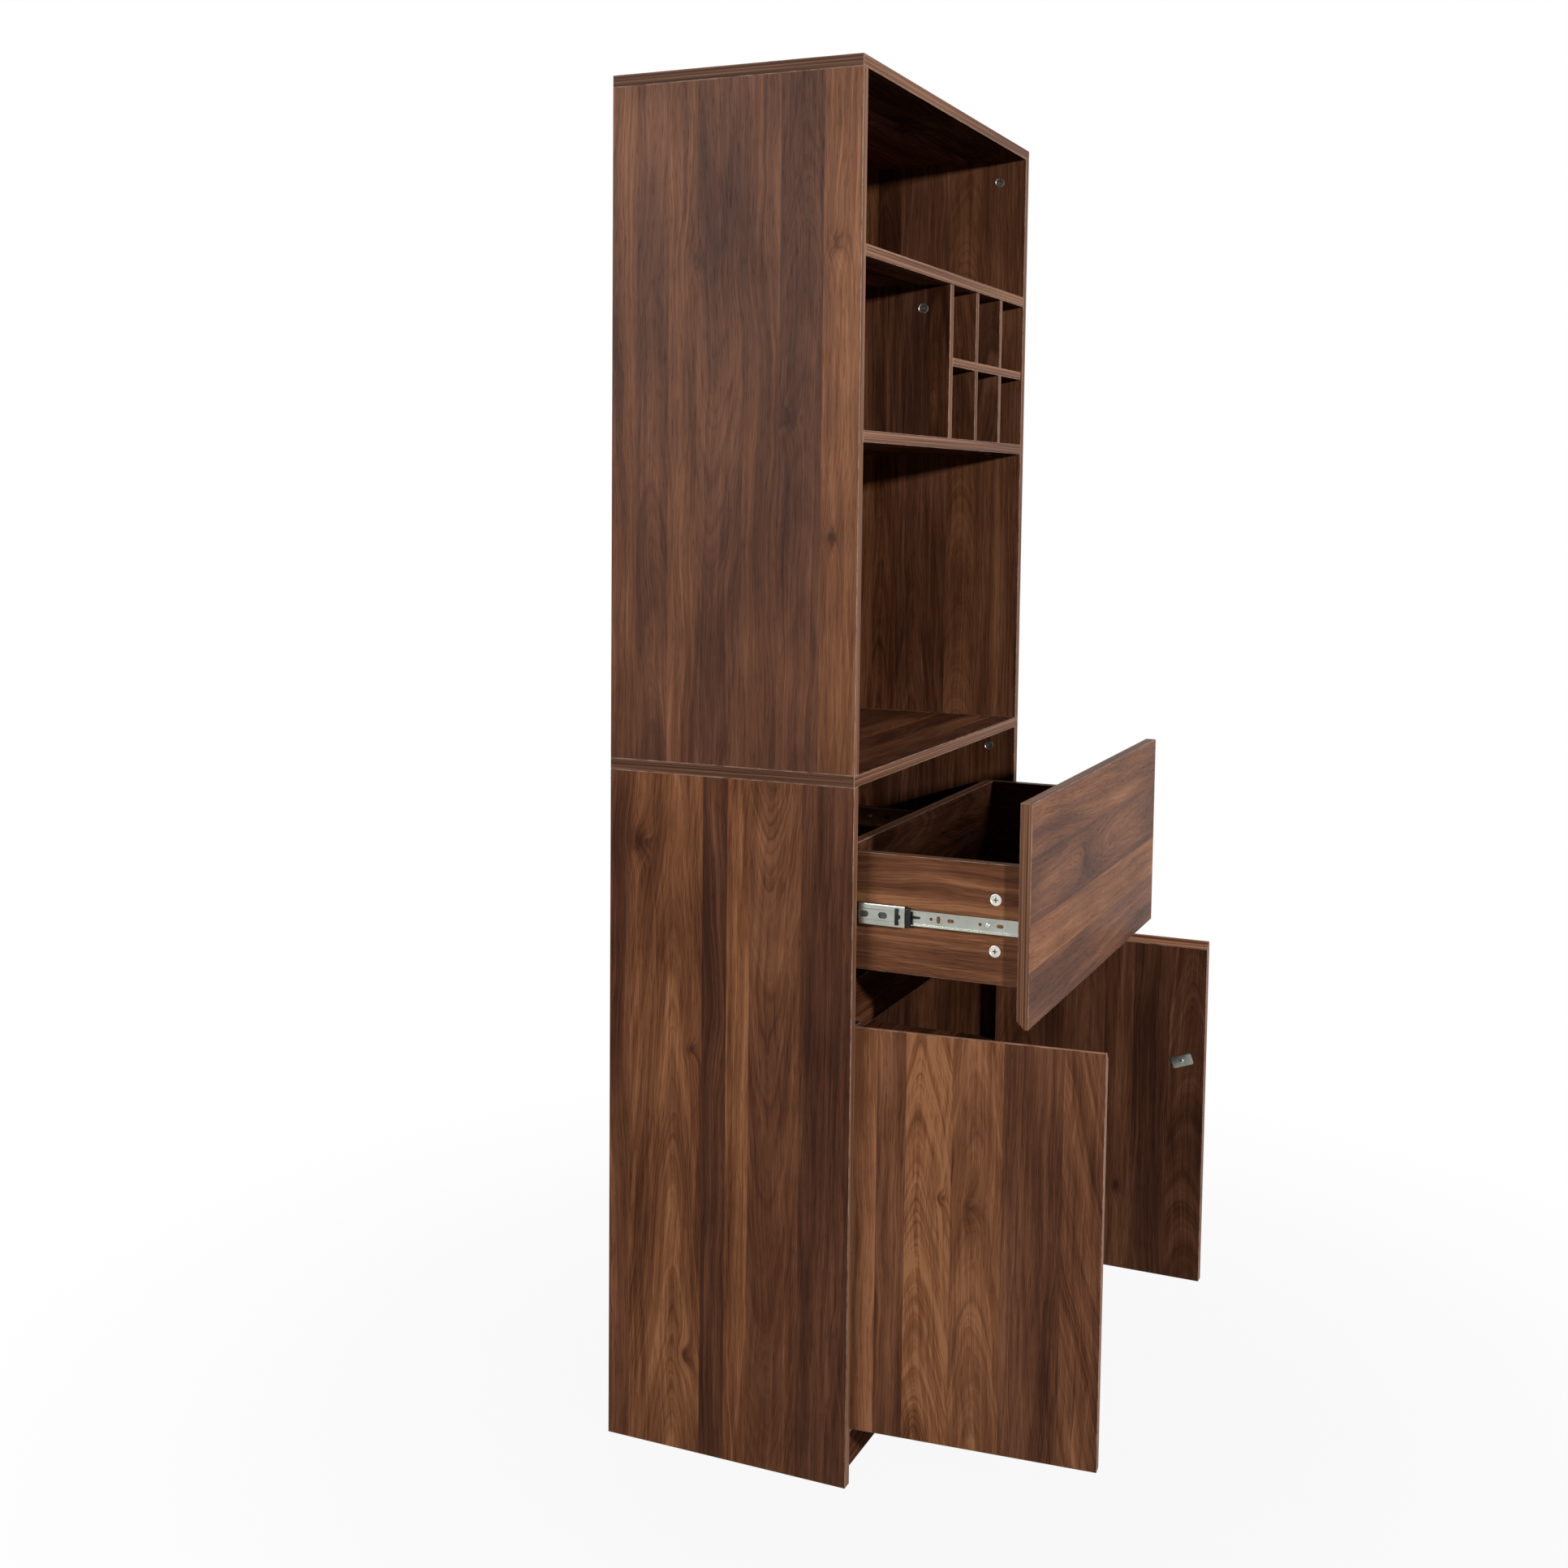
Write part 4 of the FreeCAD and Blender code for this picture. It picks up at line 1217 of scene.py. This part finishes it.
# Shelf pins
# Four turned steel pins with rounded ends, pushed into holes in the lower sides. The loose shelf lies on
# them.
shelf_pin_end = 0.0006
pins = []
for points in solids_of("shelf_pins"):
    pin_low, pin_high = corners(points)
    shelf_pin_radius = (pin_high.z - pin_low.z) / 2
    shelf_pin_length = pin_high.x - pin_low.x
    shelf_pin = rod(
        "shelf_pin", (pin_low + pin_high) / 2, X_AXIS, shelf_pin_radius, shelf_pin_length, hole_sides)
    round_edges(shelf_pin, lambda start, end: abs(start.x - end.x) < flush, shelf_pin_end, 3)
    pins.append(shelf_pin)
finish_member(together("turned_pins", pins), "shelf_pins", "carcass", screw_steel)

# Stage
# A pale floor that fades to white away from the cabinet, a crisp lamp from the front left, a soft one from
# behind on the left, a soft one from the front right and a weak fill from behind on the right.
ambient = 0.006
floor_size = 40
floor_grey = (0.1, 0.1, 0.1, 1)
floor_roughness = 0.8
white_near = 0.93
fade_start = 0.4
fade_end = 1.6
white_light = {"Color": (1, 1, 1, 1), "Strength": 1.0}


def camera_seen(point):
    """1 for rays that look at the stage straight, in a mirror or through glass, and 0 for its light."""
    path = point.tree.nodes.new("ShaderNodeLightPath")
    seen = Field(point.tree, path.outputs["Is Camera Ray"])
    for name in ("Is Glossy Ray", "Is Transmission Ray"):
        seen = seen.math("MAXIMUM", seen, Field(point.tree, path.outputs[name]))
    return seen


bpy.ops.object.select_all(action="DESELECT")
bpy.ops.mesh.primitive_plane_add(size=floor_size, location=(0, 0, 0))
floor = bpy.context.object
floor.name = "floor"
floor_finish, floor_shader, floor_point = new_finish("pale_floor")
distance = floor_point.node("ShaderNodeVectorMath", {"operation": "LENGTH"}, {0: floor_point}, "Value")
far_share = rise(distance, fade_start, fade_end) * (1 - white_near)
white_share = camera_seen(floor_point) * (white_near + far_share)
glow = floor_point.node("ShaderNodeEmission", {}, white_light)
floor_shader.inputs["Base Color"].default_value = floor_grey
floor_shader.inputs["Roughness"].default_value = floor_roughness
floor_tree = floor_finish.node_tree
matt = Field(floor_tree, floor_shader.outputs[0])
floor_mix = floor_point.node("ShaderNodeMixShader", {}, {0: white_share, 1: matt, 2: glow})
floor_tree.links.new(floor_mix.socket, floor_tree.nodes["Material Output"].inputs["Surface"])
floor.data.materials.append(floor_finish)

world = bpy.data.worlds.new("studio")
world.use_nodes = True
bpy.context.scene.world = world
sky_tree = world.node_tree
background = sky_tree.nodes["Background"]
background.inputs["Color"].default_value = (1, 1, 1, 1)
background.inputs["Strength"].default_value = ambient
sky = Field(sky_tree, background.outputs[0])
white = sky.node("ShaderNodeBackground", {}, white_light)
sky_mix = sky.node("ShaderNodeMixShader", {}, {0: camera_seen(sky), 1: sky, 2: white})
sky_tree.links.new(sky_mix.socket, sky_tree.nodes["World Output"].inputs["Surface"])


def lamp(name, location, target, strength, size):
    """A square lamp that shines from a place towards a target."""
    bpy.ops.object.light_add(type="AREA", location=location)
    made = bpy.context.object
    made.name = name
    made.rotation_mode = "QUATERNION"
    made.rotation_quaternion = (Vector(target) - Vector(location)).to_track_quat("-Z", "Y")
    made.data.energy = strength
    made.data.size = size


lamp("key", (-2.6, -5.0, 2.37), (0, 0, 0.9), 300.0, 0.35)
lamp("soft_left", (-3.3, 1.9, 2.3), (-0.35, 0.1, 1.6), 102.0, 1.8)
lamp("soft_front", (1.6, -3.6, 2.6), (0, 0, 0.9), 55.0, 1.8)
lamp("fill_behind", (2.4, 2.8, 2.2), (0, 0.3, 0.9), 110.0, 2.0)

# Camera
# It stands where the photograph was taken: left of the cabinet, a little above half its height, looking
# slightly down. The shift frames the cabinet as the photograph does.
camera_place = Vector((-2.4833, -0.8667, 1.2712))
heading = math.radians(66.04)
pitch = math.radians(4.38)
roll = math.radians(-0.60)

forward = Vector((
    math.sin(heading) * math.cos(pitch), math.cos(heading) * math.cos(pitch), -math.sin(pitch)))
level = Vector((math.cos(heading), -math.sin(heading), 0))
right = level * math.cos(roll) + forward.cross(level) * math.sin(roll)
up = right.cross(forward)
camera_data = bpy.data.cameras.new("camera")
camera = bpy.data.objects.new("camera", camera_data)
bpy.context.scene.collection.objects.link(camera)
camera.matrix_world = Matrix.Translation(camera_place) @ Matrix((right, up, -forward)).transposed().to_4x4()
camera_data.lens = 42.76
camera_data.sensor_width = 36.0
camera_data.shift_x = 0.0034
camera_data.shift_y = -0.0955
bpy.context.scene.camera = camera
bpy.context.scene.view_settings.view_transform = "Standard"
